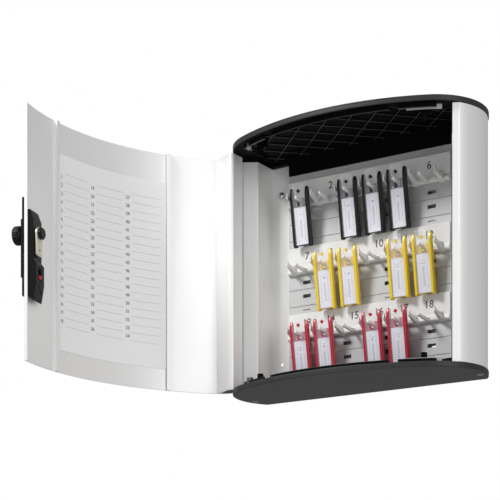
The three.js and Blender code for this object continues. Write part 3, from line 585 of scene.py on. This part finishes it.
def build_back_plate():
    front = []
    z = GROOVE_FIRST
    while z < PLATE_HALF_HEIGHT - 1:
        front += [(-PLATE_DEPTH, z - 0.5), (-PLATE_DEPTH + 0.8, z), (-PLATE_DEPTH, z + 0.5)]
        z += GROOVE_PITCH
    outline = [(0, -PLATE_HALF_HEIGHT), (-PLATE_DEPTH, -PLATE_HALF_HEIGHT), *front,
               (-PLATE_DEPTH, PLATE_HALF_HEIGHT), (0, PLATE_HALF_HEIGHT)]
    plate = prism_x(outline, -PLATE_HALF_WIDTH, PLATE_HALF_WIDTH)
    tools = []
    for low, high in zip(PLATE_WEBS, PLATE_WEBS[1:]):
        tools.append(box(-PLATE_HALF_WIDTH - 1, PLATE_HALF_WIDTH + 1, -PLATE_DEPTH + PLATE_SKIN, -PLATE_SKIN, low,
                         high - PLATE_SKIN))
    for row, bottom in zip(ROWS, STRIP_BOTTOM.values()):
        for x in SLOT_COLUMNS:
            for i, drop in enumerate(SLOT_DROPS):
                # Four of the outermost slots go on through the back skin and take the wall screws
                through = abs(x) > 50 and (row, i) in (("top", 0), ("bottom", 1))
                z = bottom - drop
                tools.append(box(x - SLOT_HALF_WIDTH, x + SLOT_HALF_WIDTH, -PLATE_DEPTH - 1,
                                 1 if through else -PLATE_DEPTH + SLOT_DEPTH, z - SLOT_HALF_HEIGHT,
                                 z + SLOT_HALF_HEIGHT))
            z = bottom + STRIP_HEIGHT + (5.6 if row == "top" else 4.4)
            tools.append(box(x - SLIT_HALF_WIDTH, x + SLIT_HALF_WIDTH, -PLATE_DEPTH - 1, -PLATE_DEPTH + SLIT_DEPTH,
                             z - SLIT_HALF_HEIGHT, z + SLIT_HALF_HEIGHT))
    cut(plate, *tools)
    finish("back_plate_extrusion", soften(plate, 0.12, 1), "cabinet", plate_metal, ["back_plate"])


def build_plate_screws():
    """Pan heads on the side profiles' flanges."""
    profile = [(0.6, -3.0), (2.2, -2.7), (3.4, -1.9), (4.0, -0.9), (4.0, 0), (1.8, 0.01), (1.8, 6)]
    blank = cut(turned_y(profile, 40), cross_recess(2.2, -4, -1.6))
    for side, x in (("left", -FLANGE_SCREW_X), ("right", FLANGE_SCREW_X)):
        place = Matrix.Translation((x, FLANGE_Y - 0.3, FLANGE_SCREW_Z))
        name = "plate_screw_" + side
        finish(name + "_head", copied(blank), "cabinet", zinc, [name], place)
    bpy.data.objects.remove(blank)


# ---- Hook strips ----

def make_hook():
    """One hook at x = 0: an upright blade with a saddle for the tag and a slightly raised tip."""
    blade = [(-13, -1), (STRIP_FRONT, -1), (-26, 0.1), (-38.5, 1.2), (-39.7, 1.9), (-40.2, 3.2), (-40.1, 4.6),
             (-39.4, 5.2), (-37.5, 4.4), (-35, 3.7), (-31, 3.4), (-25, 3.4), (-20, 3.5), (-16, 4.4), (-13, 6.6)]
    return prism_x(blade, -1.2, 1.2)


def make_divider():
    """The fin between two hooks: upturned nose, tapering web under it, and a thin rib along each flank."""
    root, tip = (STRIP_FRONT, -1.4), (-DIVIDER_NOSE + 1, 5.2)
    nose = -DIVIDER_NOSE
    fin = [(-13, -1.4), root, tip, (nose + 0.2, 5.8), (nose, 6.8), (nose, 11.2), (nose + 0.3, 11.8), (nose + 1.1, 12),
           (nose + 1.7, 11.2), (nose + 2.4, 9.3), (nose + 4.6, 8.2), (-22, 7.8), (-17, 8.4), (STRIP_FRONT, 9.4),
           (-13, 9.6)]
    rise = (tip[1] - root[1]) / (root[0] - tip[0])

    def slope(y):
        return root[1] + rise * (root[0] - y)

    def slab(plan, low, high):
        return loft([[(x, y, slope(y) + lift) for x, y in plan] for lift in (low, high)])

    half = [(3.2, -13), (3.2, STRIP_FRONT), (0.8, tip[0])]
    parts = [slab(half + mirrored(half), 0, 1.4)]
    for side in (-1, 1):
        rib = [(side * 3.2, -13), (side * 2.4, -13), (side * 0.7, tip[0] + 3), (side * 0.7, tip[0] + 1)]
        parts.append(slab(rib, 0.6, 4.4))
    return join(prism_x(fin, -0.8, 0.8), *parts)


def strip_section():
    """The strip's (y, z) outline: a flat numbered band over a rolled lip."""
    back = -PLATE_DEPTH - 0.3
    curl = arc(STRIP_FRONT + 0.4, 1.8, 2.6, 150, 250, 20)
    return [(back, 0), (back, STRIP_HEIGHT), (STRIP_FRONT, STRIP_HEIGHT), (STRIP_FRONT, 6.6),
            (STRIP_FRONT - 0.6, 5.6), *curl, (-13, -1)]


def digits(text, size, x=0.0, z=0.0, weight=0.0):
    """Raised figures facing the front, centred on (x, z) on the plane y = 0; `weight` thickens the strokes."""
    curve = bpy.data.curves.new("figures", "FONT")
    curve.body = text
    curve.size = size
    curve.extrude = 0.03
    curve.offset = weight
    curve.resolution_u = 3
    curve.align_x, curve.align_y = "CENTER", "CENTER"
    holder = bpy.data.objects.new("figures", curve)
    bpy.context.scene.collection.objects.link(holder)
    graph = bpy.context.evaluated_depsgraph_get()
    mesh = bpy.data.meshes.new_from_object(holder.evaluated_get(graph))
    bpy.data.objects.remove(holder)
    obj = bpy.data.objects.new("figures", mesh)
    bpy.context.scene.collection.objects.link(obj)
    return shifted(spun(obj, 90, "X"), x, 0, z)


def gathered(parts):
    """Several separate solids as one object."""
    bm = bmesh.new()
    for part in parts:
        bm.from_mesh(part.data)
        bpy.data.objects.remove(part)
    mesh = bpy.data.meshes.new("gathered")
    bm.to_mesh(mesh)
    bm.free()
    obj = bpy.data.objects.new("gathered", mesh)
    bpy.context.scene.collection.objects.link(obj)
    return obj


def build_hook_strips():
    parts = [prism_x(strip_section(), -STRIP_HALF_WIDTH, STRIP_HALF_WIDTH)]
    for blank, places in ((make_hook(), HOOK_X), (make_divider(), DIVIDER_X)):
        parts += [shifted(copied(blank), x) for x in places]
        bpy.data.objects.remove(blank)
    # A shallow raised pad on the lip under each hook
    parts += [box(x - PAD_HALF_WIDTH, x + PAD_HALF_WIDTH, STRIP_FRONT - 2.6, -13, PAD_LOW, PAD_HIGH) for x in HOOK_X]
    strip = soften(join(*parts), 0.25, 2)
    for row_number, row in enumerate(ROWS):
        raised = Matrix.Translation((0, 0, STRIP_BOTTOM[row]))
        finish(f"{row}_hook_strip", copied(strip), "cabinet", white_moulding, ["hook_strip_" + row],
               raised)
        figures = [digits(str(row_number * HOOKS + i + 1), FIGURE_SIZE, x, FIGURE_Z, 0.15)
                   for i, x in enumerate(HOOK_X)]
        front = Matrix.Translation((0, STRIP_FRONT - 0.03, STRIP_BOTTOM[row]))
        finish(f"{row}_hook_numbers", gathered(figures), "cabinet", ink, place=front, flat=True)
    bpy.data.objects.remove(strip)


# ---- Key tags ----

TAG_HALF = TAG_WIDTH / 2
TAG_TOP = TAG_ABOVE_HOLE
TAG_LOW = TAG_TOP - TAG_HEIGHT
TAG_FRONT, TAG_BACK = -TAG_DEPTH / 2, TAG_DEPTH / 2
LABEL_TOP, LABEL_LOW = TAG_TOP - 22.2, TAG_LOW + 3.0
BAND_TOP = TAG_TOP - 12.0
STUD_Z = TAG_TOP - 4.6


def tag_hole():
    """Slot for the hook's blade, its upper edge at z = 0."""
    x, z, corner = TAG_HOLE_WIDTH / 2 - 2, TAG_HOLE_HEIGHT - 2, 2
    outline = arc(x, -2, corner, 0, 90, 15) + arc(-x, -2, corner, 90, 180, 15)
    outline += arc(-x, -z, corner, 180, 270, 15) + arc(x, -z, corner, 270, 360, 15)
    return prism_y(outline, -20, 20)


def tag_rail(sign):
    """One thick side rail: a rounded bar with a groove down its outer flank."""
    inner, outer = sign * (TAG_HALF - TAG_RAIL), sign * TAG_HALF
    side = [(TAG_BACK, TAG_LOW + 0.6), (TAG_BACK, TAG_TOP - 3.2), (TAG_BACK - 1.0, TAG_TOP - 1.2),
            (TAG_BACK - 2.4, TAG_TOP - 0.2), (TAG_BACK - 3.4, TAG_TOP - 0.3), (TAG_FRONT + 1.6, TAG_TOP - 2.6),
            (TAG_FRONT + 0.5, TAG_TOP - 5.6), (TAG_FRONT, TAG_TOP - 9), (TAG_FRONT, TAG_LOW + 2.2),
            (TAG_FRONT + 0.6, TAG_LOW + 0.7), (TAG_FRONT + 2.0, TAG_LOW)]
    bar = soften(prism_x(side, min(inner, outer), max(inner, outer)), 0.8, 3)
    near, far = sorted((outer - sign * 0.5, outer + sign))
    return soften(cut(bar, box(near, far, -0.6, 0.7, TAG_LOW + 3, TAG_TOP - 7)), 0.15, 1, 50)


def tag_body():
    """Coloured rails and stud, then the tinted wall behind the label, which takes the second material."""
    rails = [tag_rail(-1), tag_rail(1)]
    stud = spun(box(-1.6, 1.6, TAG_FRONT + 0.1, TAG_FRONT + 2.4, -1.6, 1.6), 45, "Y")
    coloured = gathered([*rails, shifted(soften(stud, 0.4, 2), 0, 0, STUD_Z)])
    wall = box(-TAG_HALF + 2, TAG_HALF - 2, TAG_BACK - 1.5, TAG_BACK - 0.3, TAG_LOW + 2, BAND_TOP)
    tinted = cut(wall, tag_hole())
    faces = len(coloured.data.polygons)
    whole = gathered([coloured, tinted])
    whole.data.materials.append(None)
    whole.data.materials.append(None)
    for polygon in whole.data.polygons[faces:]:
        polygon.material_index = 1
    return whole


def tag_cover():
    """Clear front: an arched top above the rails, a rim round the hole, ridges, and a lip at its foot."""
    w = TAG_HALF - TAG_RAIL - 0.3
    front = TAG_FRONT + 0.5
    face = arc(w - 3, TAG_TOP + 0.3, 3, 0, 90, 10) + arc(3 - w, TAG_TOP + 0.3, 3, 90, 180, 10)
    face += [(-w, TAG_LOW + 2.4), (w, TAG_LOW + 2.4)]
    middle = -TAG_HOLE_HEIGHT / 2
    rim = [(x, middle + z * 1.15) for x, z in circle(0, 0, 5.6, 40)]
    parts = [prism_y(face, front, front + 1.3), prism_y(rim, front - 0.35, front + 0.5),
             box(-w, w, front - 0.4, front + 0.5, LABEL_TOP + 0.1, LABEL_TOP + 0.6),
             box(-w, w, front - 0.5, front + 1.0, TAG_LOW + 2.4, TAG_LOW + 4.0)]
    for z in (BAND_TOP + 1.6, BAND_TOP + 4.2, TAG_TOP + 0.6):
        parts.append(box(-w + 1.2, w - 1.2, front - 0.3, front + 0.5, z, z + 0.6))
    return soften(cut(join(*parts), tag_hole(), rod_y(0, STUD_Z, 2.7, front - 1, front + 2)), 0.2, 2, 40)


def tag_label():
    w = TAG_HALF - TAG_RAIL - 0.5
    return box(-w, w, TAG_FRONT + 2.1, TAG_FRONT + 2.4, LABEL_LOW, LABEL_TOP)


def label_print(number):
    """The tag's number set sideways over a column of short ruled bars, between two thin lines."""
    y = TAG_FRONT + 2.05
    parts = [box(x, x + 0.3, y, y + 0.1, LABEL_LOW + 4, LABEL_TOP - 4) for x in (-4.4, 4.1)]
    parts.append(shifted(spun(digits(str(number), 5.4, weight=0.1), 90, "Y"), 0, y, LABEL_TOP - 8))
    z = LABEL_TOP - 14
    while z > LABEL_LOW + 8:
        parts.append(box(-1.3, 1.1, y, y + 0.1, z - 0.9, z))
        z -= 1.8
    return gathered(parts)


def build_tags():
    parts = {"moulding": tag_body(), "window": tag_cover(), "label": tag_label()}
    for name in sorted(body for body in frame["bodies"] if body.startswith("tag_")):
        number = int(name.split("_")[1])
        row, place_in_row = divmod(number - 1, HOOKS)
        colour = TAG_COLOURS[row]
        place = Matrix.Translation((HOOK_X[place_in_row], TAG_SADDLE_Y, STRIP_BOTTOM[ROWS[row]] + TAG_DROP))
        place = place @ Matrix.Rotation(math.radians(TAG_TILT), 4, "X")
        finish(name + "_moulding", copied(parts["moulding"]), name, [tag_plastic[colour], tag_window[colour]],
               [name + "_tray"], place)
        finish(name + "_window", copied(parts["window"]), name, clear, [name + "_cover"], place)
        finish(name + "_label", copied(parts["label"]), name, label_card, place=place)
        finish(name + "_print", label_print(number), name, pale_ink, place=place, flat=True)
    for part in parts.values():
        bpy.data.objects.remove(part)


# ---- Door ----

def door_arc(radius, start, end, step=1.0):
    return arc(0, DOOR_Y, radius, start - 90, end - 90, step)


def sheet_rib(side):
    """L-shaped rib for one edge of the index sheet; `side` is 1 towards the lock and -1 towards the hinge."""
    profile = [(0, 0.75), (3.4, 0.75), (3.4, -0.35), (2.3, -0.35), (2.3, 0.35), (0, 0.35)]
    return [on_door(DOOR_INNER - depth, side * (SHEET + turn)) for depth, turn in profile]


def door_section():
    """The closed door in plan: curved panel, then the hollow hinge post that wraps round the hinge axis."""
    corner = arc(-END_X, END_Y, SKIN_RADIUS, 222.6, 200)
    knuckle = arc(HINGE.x, HINGE.y, 4, 205, 72, 8)
    nose = arc(-128.2, -50.6, 3.9, 100, 0, 10)
    return [*door_arc(DOOR_RADIUS, DOOR_FREE, -DOOR_HINGE_SIDE), *corner[1:], *knuckle, *nose, (-124.6, -56.4),
            on_door(DOOR_INNER, -30.6), *door_arc(DOOR_INNER, -30, -SHEET - 0.75), *sheet_rib(-1)[1:-1],
            *door_arc(DOOR_INNER, -SHEET - 0.35, SHEET + 0.35), *reversed(sheet_rib(1)[1:-1]),
            *door_arc(DOOR_INNER, SHEET + 0.75, DOOR_FREE - 0.4), on_door(DOOR_INNER - 1.4, DOOR_FREE - 0.35),
            on_door(DOOR_INNER - 1.4, DOOR_FREE)]


def post_hollow(inset):
    """The hollow of the hinge post, moved inwards from its walls."""
    skin = arc(-END_X, END_Y, SKIN_RADIUS - WALL - inset, 219, 208)
    return [*skin, (-138.3 + inset, -57.6 - inset * 0.3), (-135.6 + inset, -51.4 - inset),
            (-129 - inset * 0.4, -48.8 - inset), (-126.6 - inset, -50.8), (-126.5 - inset, -56 - inset * 0.4),
            (-132.9 - inset * 0.5, -73.6 + inset * 1.5)]


def build_door():
    window = spun(box(-9, 9, -2, 6, -48, 13.2), LOCK_DEG)
    window = shifted(window, *on_door(DOOR_RADIUS, LOCK_DEG))
    panel = prism(door_section(), DOOR_LOW, DOOR_HIGH)
    cut(panel, prism(post_hollow(0), DOOR_LOW - 1, DOOR_HIGH + 1), window,
        rod(HINGE.x, HINGE.y, 2.25, DOOR_LOW - 1, DOOR_HIGH + 1))
    finish("door_extrusion", soften(panel, 0.2, 2), "door", door_metal_painted_light, ["door_panel"], swing)
    for end, low, high in (("top", DOOR_HIGH - 8, DOOR_HIGH), ("bottom", DOOR_LOW, DOOR_LOW + 8)):
        plug = soften(prism(post_hollow(0.35), low, high), 0.3, 2)
        finish(f"hinge_post_plug_{end}", plug, "door", lock_black, ["post_plug_" + end], swing)


def wrapped(obj, radius):
    """Bends a flat drawing, x across and z up as seen from inside, on to the door's inner face."""
    bm = bmesh.new()
    bm.from_mesh(obj.data)
    for vertex in bm.verts:
        x, y, z = vertex.co
        vertex.co = (*on_door(radius + y, -math.degrees(x / radius)), z)
    bmesh.ops.recalc_face_normals(bm, faces=bm.faces)
    bm.to_mesh(obj.data)
    bm.free()
    return obj


def curved_sheet(outer, inner, half_degrees):
    outline = door_arc(outer, half_degrees, -half_degrees) + door_arc(inner, -half_degrees, half_degrees)
    return prism(outline, SHEET_LOW, SHEET_HIGH)


def index_print(radius):
    """Column numbers and the ruled lines of the key index."""
    left = 8.3 - math.radians(SHEET) * radius
    top, bottom = SHEET_HIGH - 20, SHEET_LOW + 27
    row = (top - bottom) / INDEX_ROWS
    figures, rules = [], []
    for c in range(INDEX_COLUMNS):
        x = left + c * INDEX_COLUMN_PITCH
        for r in range(INDEX_ROWS):
            z = top - (r + 0.5) * row
            figures.append(digits(str(c * INDEX_ROWS + r + 1), 5.2, x, z, 0.12))
        for r in range(INDEX_ROWS + 1):
            z = top - r * row
            # Short lengths, so that each line can bend with the sheet
            for i in range(RULE_STEPS):
                x0, x1 = x + RULE_START + i * RULE_STEP, x + RULE_START + (i + 1) * RULE_STEP
                rules.append(box(x0, x1, -0.03, 0.03, z - 0.16, z + 0.16))
    return figures, rules


def build_index():
    sheet = curved_sheet(DOOR_INNER - 0.4, DOOR_INNER - 0.8, SHEET)
    finish("index_card", sheet, "index", card, ["index_sheet"], swing)
    cover = curved_sheet(DOOR_INNER - 1.2, DOOR_INNER - 1.7, SHEET)
    finish("index_window", soften(cover, 0.12, 1), "index", clear_sheet, ["index_cover"], swing)
    radius = DOOR_INNER - 0.85
    figures, rules = index_print(radius)
    finish("index_figures", wrapped(gathered(figures), radius), "index", ink, place=swing,
           flat=True)
    finish("index_rules", wrapped(gathered(rules), radius), "index", pale_ink, place=swing,
           flat=True)


def build_hinge_pins():
    for end, sign in (("top", 1), ("bottom", -1)):
        name = "hinge_pin_" + end
        low, high = (corner.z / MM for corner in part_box(name))
        pin = soften(rod(HINGE.x, HINGE.y, 2.0, low, high), 0.3, 2)
        finish(name + "_rod", pin, "cabinet", zinc, [name])


# ---- Lock, drawn about its spindle: x towards the free edge, -y outwards, y = 0 on the door's outer face ----

DIAL_BAND = (DIAL_Z[3] - 4.6, DIAL_Z[0] + 4.6)
SPINDLE = 4.0


def axle_groove():
    return rod(0, DIAL_Y, 1.8, DIAL_BAND[0] - 2.2, DIAL_BAND[1] + 2.2, 24)


def lock_housing():
    housing = soften(box(-8.7, 8.7, -5, 1.9, -47.7, 12.9), 0.8, 3)
    windows = [box(-7.4, 7.4, -6, 3, z - 3.1, z + 3.1) for z in DIAL_Z]
    ring = cut(rod_y(0, LOCK_Z, 7.4, -5.5, -4.5, 48), rod_y(0, LOCK_Z, 6.6, -7, -3, 48))
    cut(housing, *windows, axle_groove(), ring, rod_y(0, LOCK_Z, SPINDLE + 0.3, -6, 3))
    return soften(housing, 0.18, 1, 50)


def lock_inner_case():
    side = [(2.4, -66), (2.4, 22.4), (5.6, 22.4), (9.6, 12), (9.6, -30), (12.6, -34), (12.6, -54), (10.6, -66),
            (9.4, -72), (6, -70)]
    body = soften(prism_x(side, -11, 8.5), 0.5, 3)
    bay_of_dials = box(-7.6, 7.6, 0, 8.7, *DIAL_BAND)
    lever_slot = box(-3.3, 3.3, 10, 14, -49.4, -38.2)
    dish = soften(box(-4.6, 3.6, 12.1, 14, -53, -36), 0.2, 1)
    slash = shifted(spun(box(-8, 8, 9.4, 14, -0.5, 0.5), -38, "Y"), -1.5, 0, -58.5)
    cut(body, bay_of_dials, axle_groove(), lever_slot, dish, slash,
        rod_y(0, LOCK_Z, SPINDLE + 0.3, 0, 14))
    return soften(body, 0.15, 1, 50)


def lock_knob():
    """Domed and fluted grip on a plain spindle that goes right through the lock."""
    grip = [(4.5, -15.9), (7.6, -15.7), (9.0, -15.1), (9.8, -13.9), (9.8, -9.2), (9.2, -7.4), (7.6, -5.7),
            (SPINDLE, -5.4), (SPINDLE, 16.6)]
    knob = turned_y(grip, 96)
    flutes = []
    for i in range(24):
        a = math.radians(i * 15)
        flutes.append(rod_y(10.3 * math.cos(a), 10.3 * math.sin(a), 0.9, -17, -7, 12))
    pointer = box(-0.6, 0.6, -17, -15.3, 1.5, 8.2)
    return shifted(soften(cut(knob, *flutes, pointer), 0.12, 1, 45), 0, 0, LOCK_Z)


def lock_cam():
    outline = arc(0, 0, 6.8, 180, 0, 8) + [(5.4, -22), (3.6, -23.4), (-3.6, -23.4), (-5.4, -22)]
    cam = shifted(prism_y(outline, 10.5, 12.8), 0, 0, LOCK_Z)
    cut(cam, rod_y(0, LOCK_Z, SPINDLE + 0.3, 9, 14), rod_y(0, LOCK_Z - 17, 1.5, 9, 14, 20))
    return soften(cam, 0.35, 2)


def cam_nut():
    nut = soften(rod_y(0, 0, 6.5, 13.1, 16.3, 6), 0.4, 2)
    collar = soften(rod_y(0, 0, 5.2, 15.5, 17.0, 40), 0.3, 2)
    return shifted(cut(join(nut, collar), rod_y(0, 0, SPINDLE + 0.15, 12, 18)), 0, 0, LOCK_Z)


def dial_wheel(z):
    """A number wheel with ten flats and a milled edge."""
    wheel = soften(prism(circle(0, 0, DIAL_RADIUS, 10), -2.7, 2.7), 0.35, 2)
    notches = []
    for i in range(DIAL_FIGURES):
        a = math.radians(i * 360 / DIAL_FIGURES)
        notches.append(rod(DIAL_RADIUS * math.cos(a), DIAL_RADIUS * math.sin(a), 0.55, -3, 3, 12))
    cut(wheel, rod(0, 0, 1.8, -3, 3, 24), *notches)
    return shifted(soften(wheel, 0.12, 1, 50), 0, DIAL_Y, z)


def dial_figures(z):
    """The figures 0 to 9 on the wheel's flats."""
    flat = DIAL_RADIUS * math.cos(math.radians(18))
    figures = []
    for i in range(DIAL_FIGURES):
        figure = shifted(digits(str(i), 3.6), 0, -flat - 0.02, 0)
        figures.append(spun(figure, i * 360 / DIAL_FIGURES))
    return shifted(gathered(figures), 0, DIAL_Y, z)


def build_lock():
    plate = soften(box(-11.5, 10, -2.9, -0.5, -67.1, 34.9), 0.6, 3)
    cut(plate, box(-9, 9, -4, 1, -48, 13.2))
    rivets = [soften(rod_y(-0.7, z, 2.4, -3.5, -1.5, 32), 0.4, 2) for z in (28, -60)]
    finish("lock_front_plate", join(plate, *rivets), "door", lock_black, ["lock_outer_plate"], at_lock)
    finish("lock_front_housing", lock_housing(), "door", lock_black, ["lock_housing"], at_lock)
    finish("lock_rear_case", lock_inner_case(), "door", lock_black, ["lock_inner_case"], at_lock)
    axle = soften(rod(0, DIAL_Y, 1.5, DIAL_BAND[0] - 1.8, DIAL_BAND[1] + 1.8, 24), 0.2, 1)
    finish("dial_shaft", axle, "door", zinc, ["dial_axle"], at_lock)
    finish("lock_knob_grip", lock_knob(), "lock_turn", lock_black, ["lock_knob"], at_lock)
    finish("lock_cam_plate", lock_cam(), "lock_turn", dull_brass, ["lock_cam"], at_lock)
    finish("lock_cam_nut", cam_nut(), "lock_turn", lock_black, ["cam_nut"], at_lock)
    lever = soften(box(-3, 3, 10.4, 13.8, -48.9, -45), 0.4, 2)
    grips = [box(-4, 4, 13.4, 15, z, z + 0.5) for z in (-48.0, -46.9, -45.8)]
    finish("code_setting_lever", cut(lever, *grips), "code_slide", red_moulding, ["code_lever"],
           at_lock)
    for i, z in enumerate(DIAL_Z, 1):
        finish(f"dial_{i}_wheel", dial_wheel(z), f"dial_{i}", grey_moulding, [f"dial_{i}"], at_lock)
        finish(f"dial_{i}_figures", dial_figures(z), f"dial_{i}", card, place=at_lock, flat=True)


def build_keeper():
    outline = [(131.5, -71.4), (137.1, -68.2), (144.1, -55.6), (142.2, -54.6), (135.5, -66.6), (130.4, -69.4)]
    keeper = soften(prism(outline, LOCK_Z - 14, LOCK_Z + 14), 0.25, 2)
    finish("lock_keeper_strip", keeper, "cabinet", zinc, ["lock_keeper"])


def build_catch_rails():
    """Grey strips inside the lips at the lock end, which the closed door's corner bears on."""
    clearance = LIP_OFFSET + LIP_THICK + 0.3
    end = FRONT_RADIUS - clearance, END_RADIUS - clearance
    outline = (arc(END_X, END_Y, end[1], -50, -TANGENT) + arc(0, FRONT_Y, end[0], -TANGENT, -70.4, 1)[1:]
               + arc(0, FRONT_Y, end[0] - 2, -70.4, -TANGENT, 1) + arc(END_X, END_Y, end[1] - 2, -TANGENT, -50)[1:])
    for name in ("catch_rail_top", "catch_rail_bottom"):
        low, high = (corner.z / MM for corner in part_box(name))
        rail = soften(prism(outline, low, high), 0.25, 2)
        finish(name + "_strip", rail, "cabinet", grey_moulding, [name])


# ---- Stage, light and camera ----

LIT_POINT = (0, -0.05, 0)


def emit_area(name, location, size, power):
    """A rectangular lamp that faces the cabinet."""
    lamp = bpy.data.lights.new(name, "AREA")
    lamp.shape = "RECTANGLE"
    lamp.size, lamp.size_y = size
    lamp.energy = power
    obj = bpy.data.objects.new(name, lamp)
    bpy.context.scene.collection.objects.link(obj)
    obj.location = location
    obj.rotation_euler = (Vector(LIT_POINT) - Vector(location)).to_track_quat("-Z", "Y").to_euler()


def build_stage():
    """Pale floor, white surroundings to the eye, a dimmer sky for the light, and three lamps."""
    floor = box(-4000, 4000, -4000, 4000, -1360, -1340)
    floor.name = floor.data.name = "studio_floor"
    floor.data.transform(Matrix.Scale(MM, 4))
    floor.data.materials.append(surface("pale_floor", (0.80, 0.80, 0.79), 0.7, tint=0.01, scale=(3, 3, 3)))

    world = bpy.data.worlds.new("studio")
    bpy.context.scene.world = world
    world.use_nodes = True
    nodes, links = world.node_tree.nodes, world.node_tree.links
    path = nodes.new("ShaderNodeLightPath")
    ambient = nodes["Background"]
    ambient.inputs["Color"].default_value = (0.96, 0.97, 1.0, 1)
    ambient.inputs["Strength"].default_value = 0.33
    paper = nodes.new("ShaderNodeBackground")
    paper.inputs["Color"].default_value = (1, 1, 1, 1)
    paper.inputs["Strength"].default_value = 1.0
    mix = nodes.new("ShaderNodeMixShader")
    links.new(path.outputs["Is Camera Ray"], mix.inputs["Fac"])
    links.new(ambient.outputs["Background"], mix.inputs[1])
    links.new(paper.outputs["Background"], mix.inputs[2])
    links.new(mix.outputs["Shader"], nodes["World Output"].inputs["Surface"])

    emit_area("key_light", (-0.70, -1.32, 1.17), (0.5, 0.4), 27)
    emit_area("fill_light", (1.9, -1.0, 0.25), (1.2, 1.6), 20)
    emit_area("low_light", (0.1, -1.6, -0.7), (1.2, 0.6), 3.5)


CAMERA_AT, CAMERA_TURN = (0.85178, -1.57654, -0.48346), 32.77
CAMERA_LENS, CAMERA_SENSOR, CAMERA_RISE = 115.33, 36.0, 0.901


def build_camera():
    """A level camera with a rising front; the shift is dropped when the view is turned to another side."""
    data = bpy.data.cameras.new("camera")
    camera = bpy.data.objects.new("camera", data)
    bpy.context.scene.collection.objects.link(camera)
    bpy.context.scene.camera = camera
    data.sensor_width = CAMERA_SENSOR
    data.lens = CAMERA_LENS
    data.clip_start, data.clip_end = 0.05, 20
    camera.location = CAMERA_AT
    camera.rotation_mode = "XYZ"
    camera.rotation_euler = (math.radians(90), 0, math.radians(CAMERA_TURN))
    driver = data.driver_add("shift_y").driver
    variable = driver.variables.new()
    variable.name = "mode"
    variable.targets[0].id = camera
    variable.targets[0].data_path = "rotation_mode"
    driver.expression = f"{CAMERA_RISE} if mode == 1 else 0"


def main():
    build_caps()
    build_cap_screws()
    build_side_profiles()
    build_back_plate()
    build_plate_screws()
    build_hook_strips()
    build_tags()
    build_door()
    build_index()
    build_hinge_pins()
    build_lock()
    build_keeper()
    build_catch_rails()
    build_stage()
    build_camera()
    bpy.context.scene.view_settings.view_transform = "Standard"
    bpy.context.view_layer.update()


main()
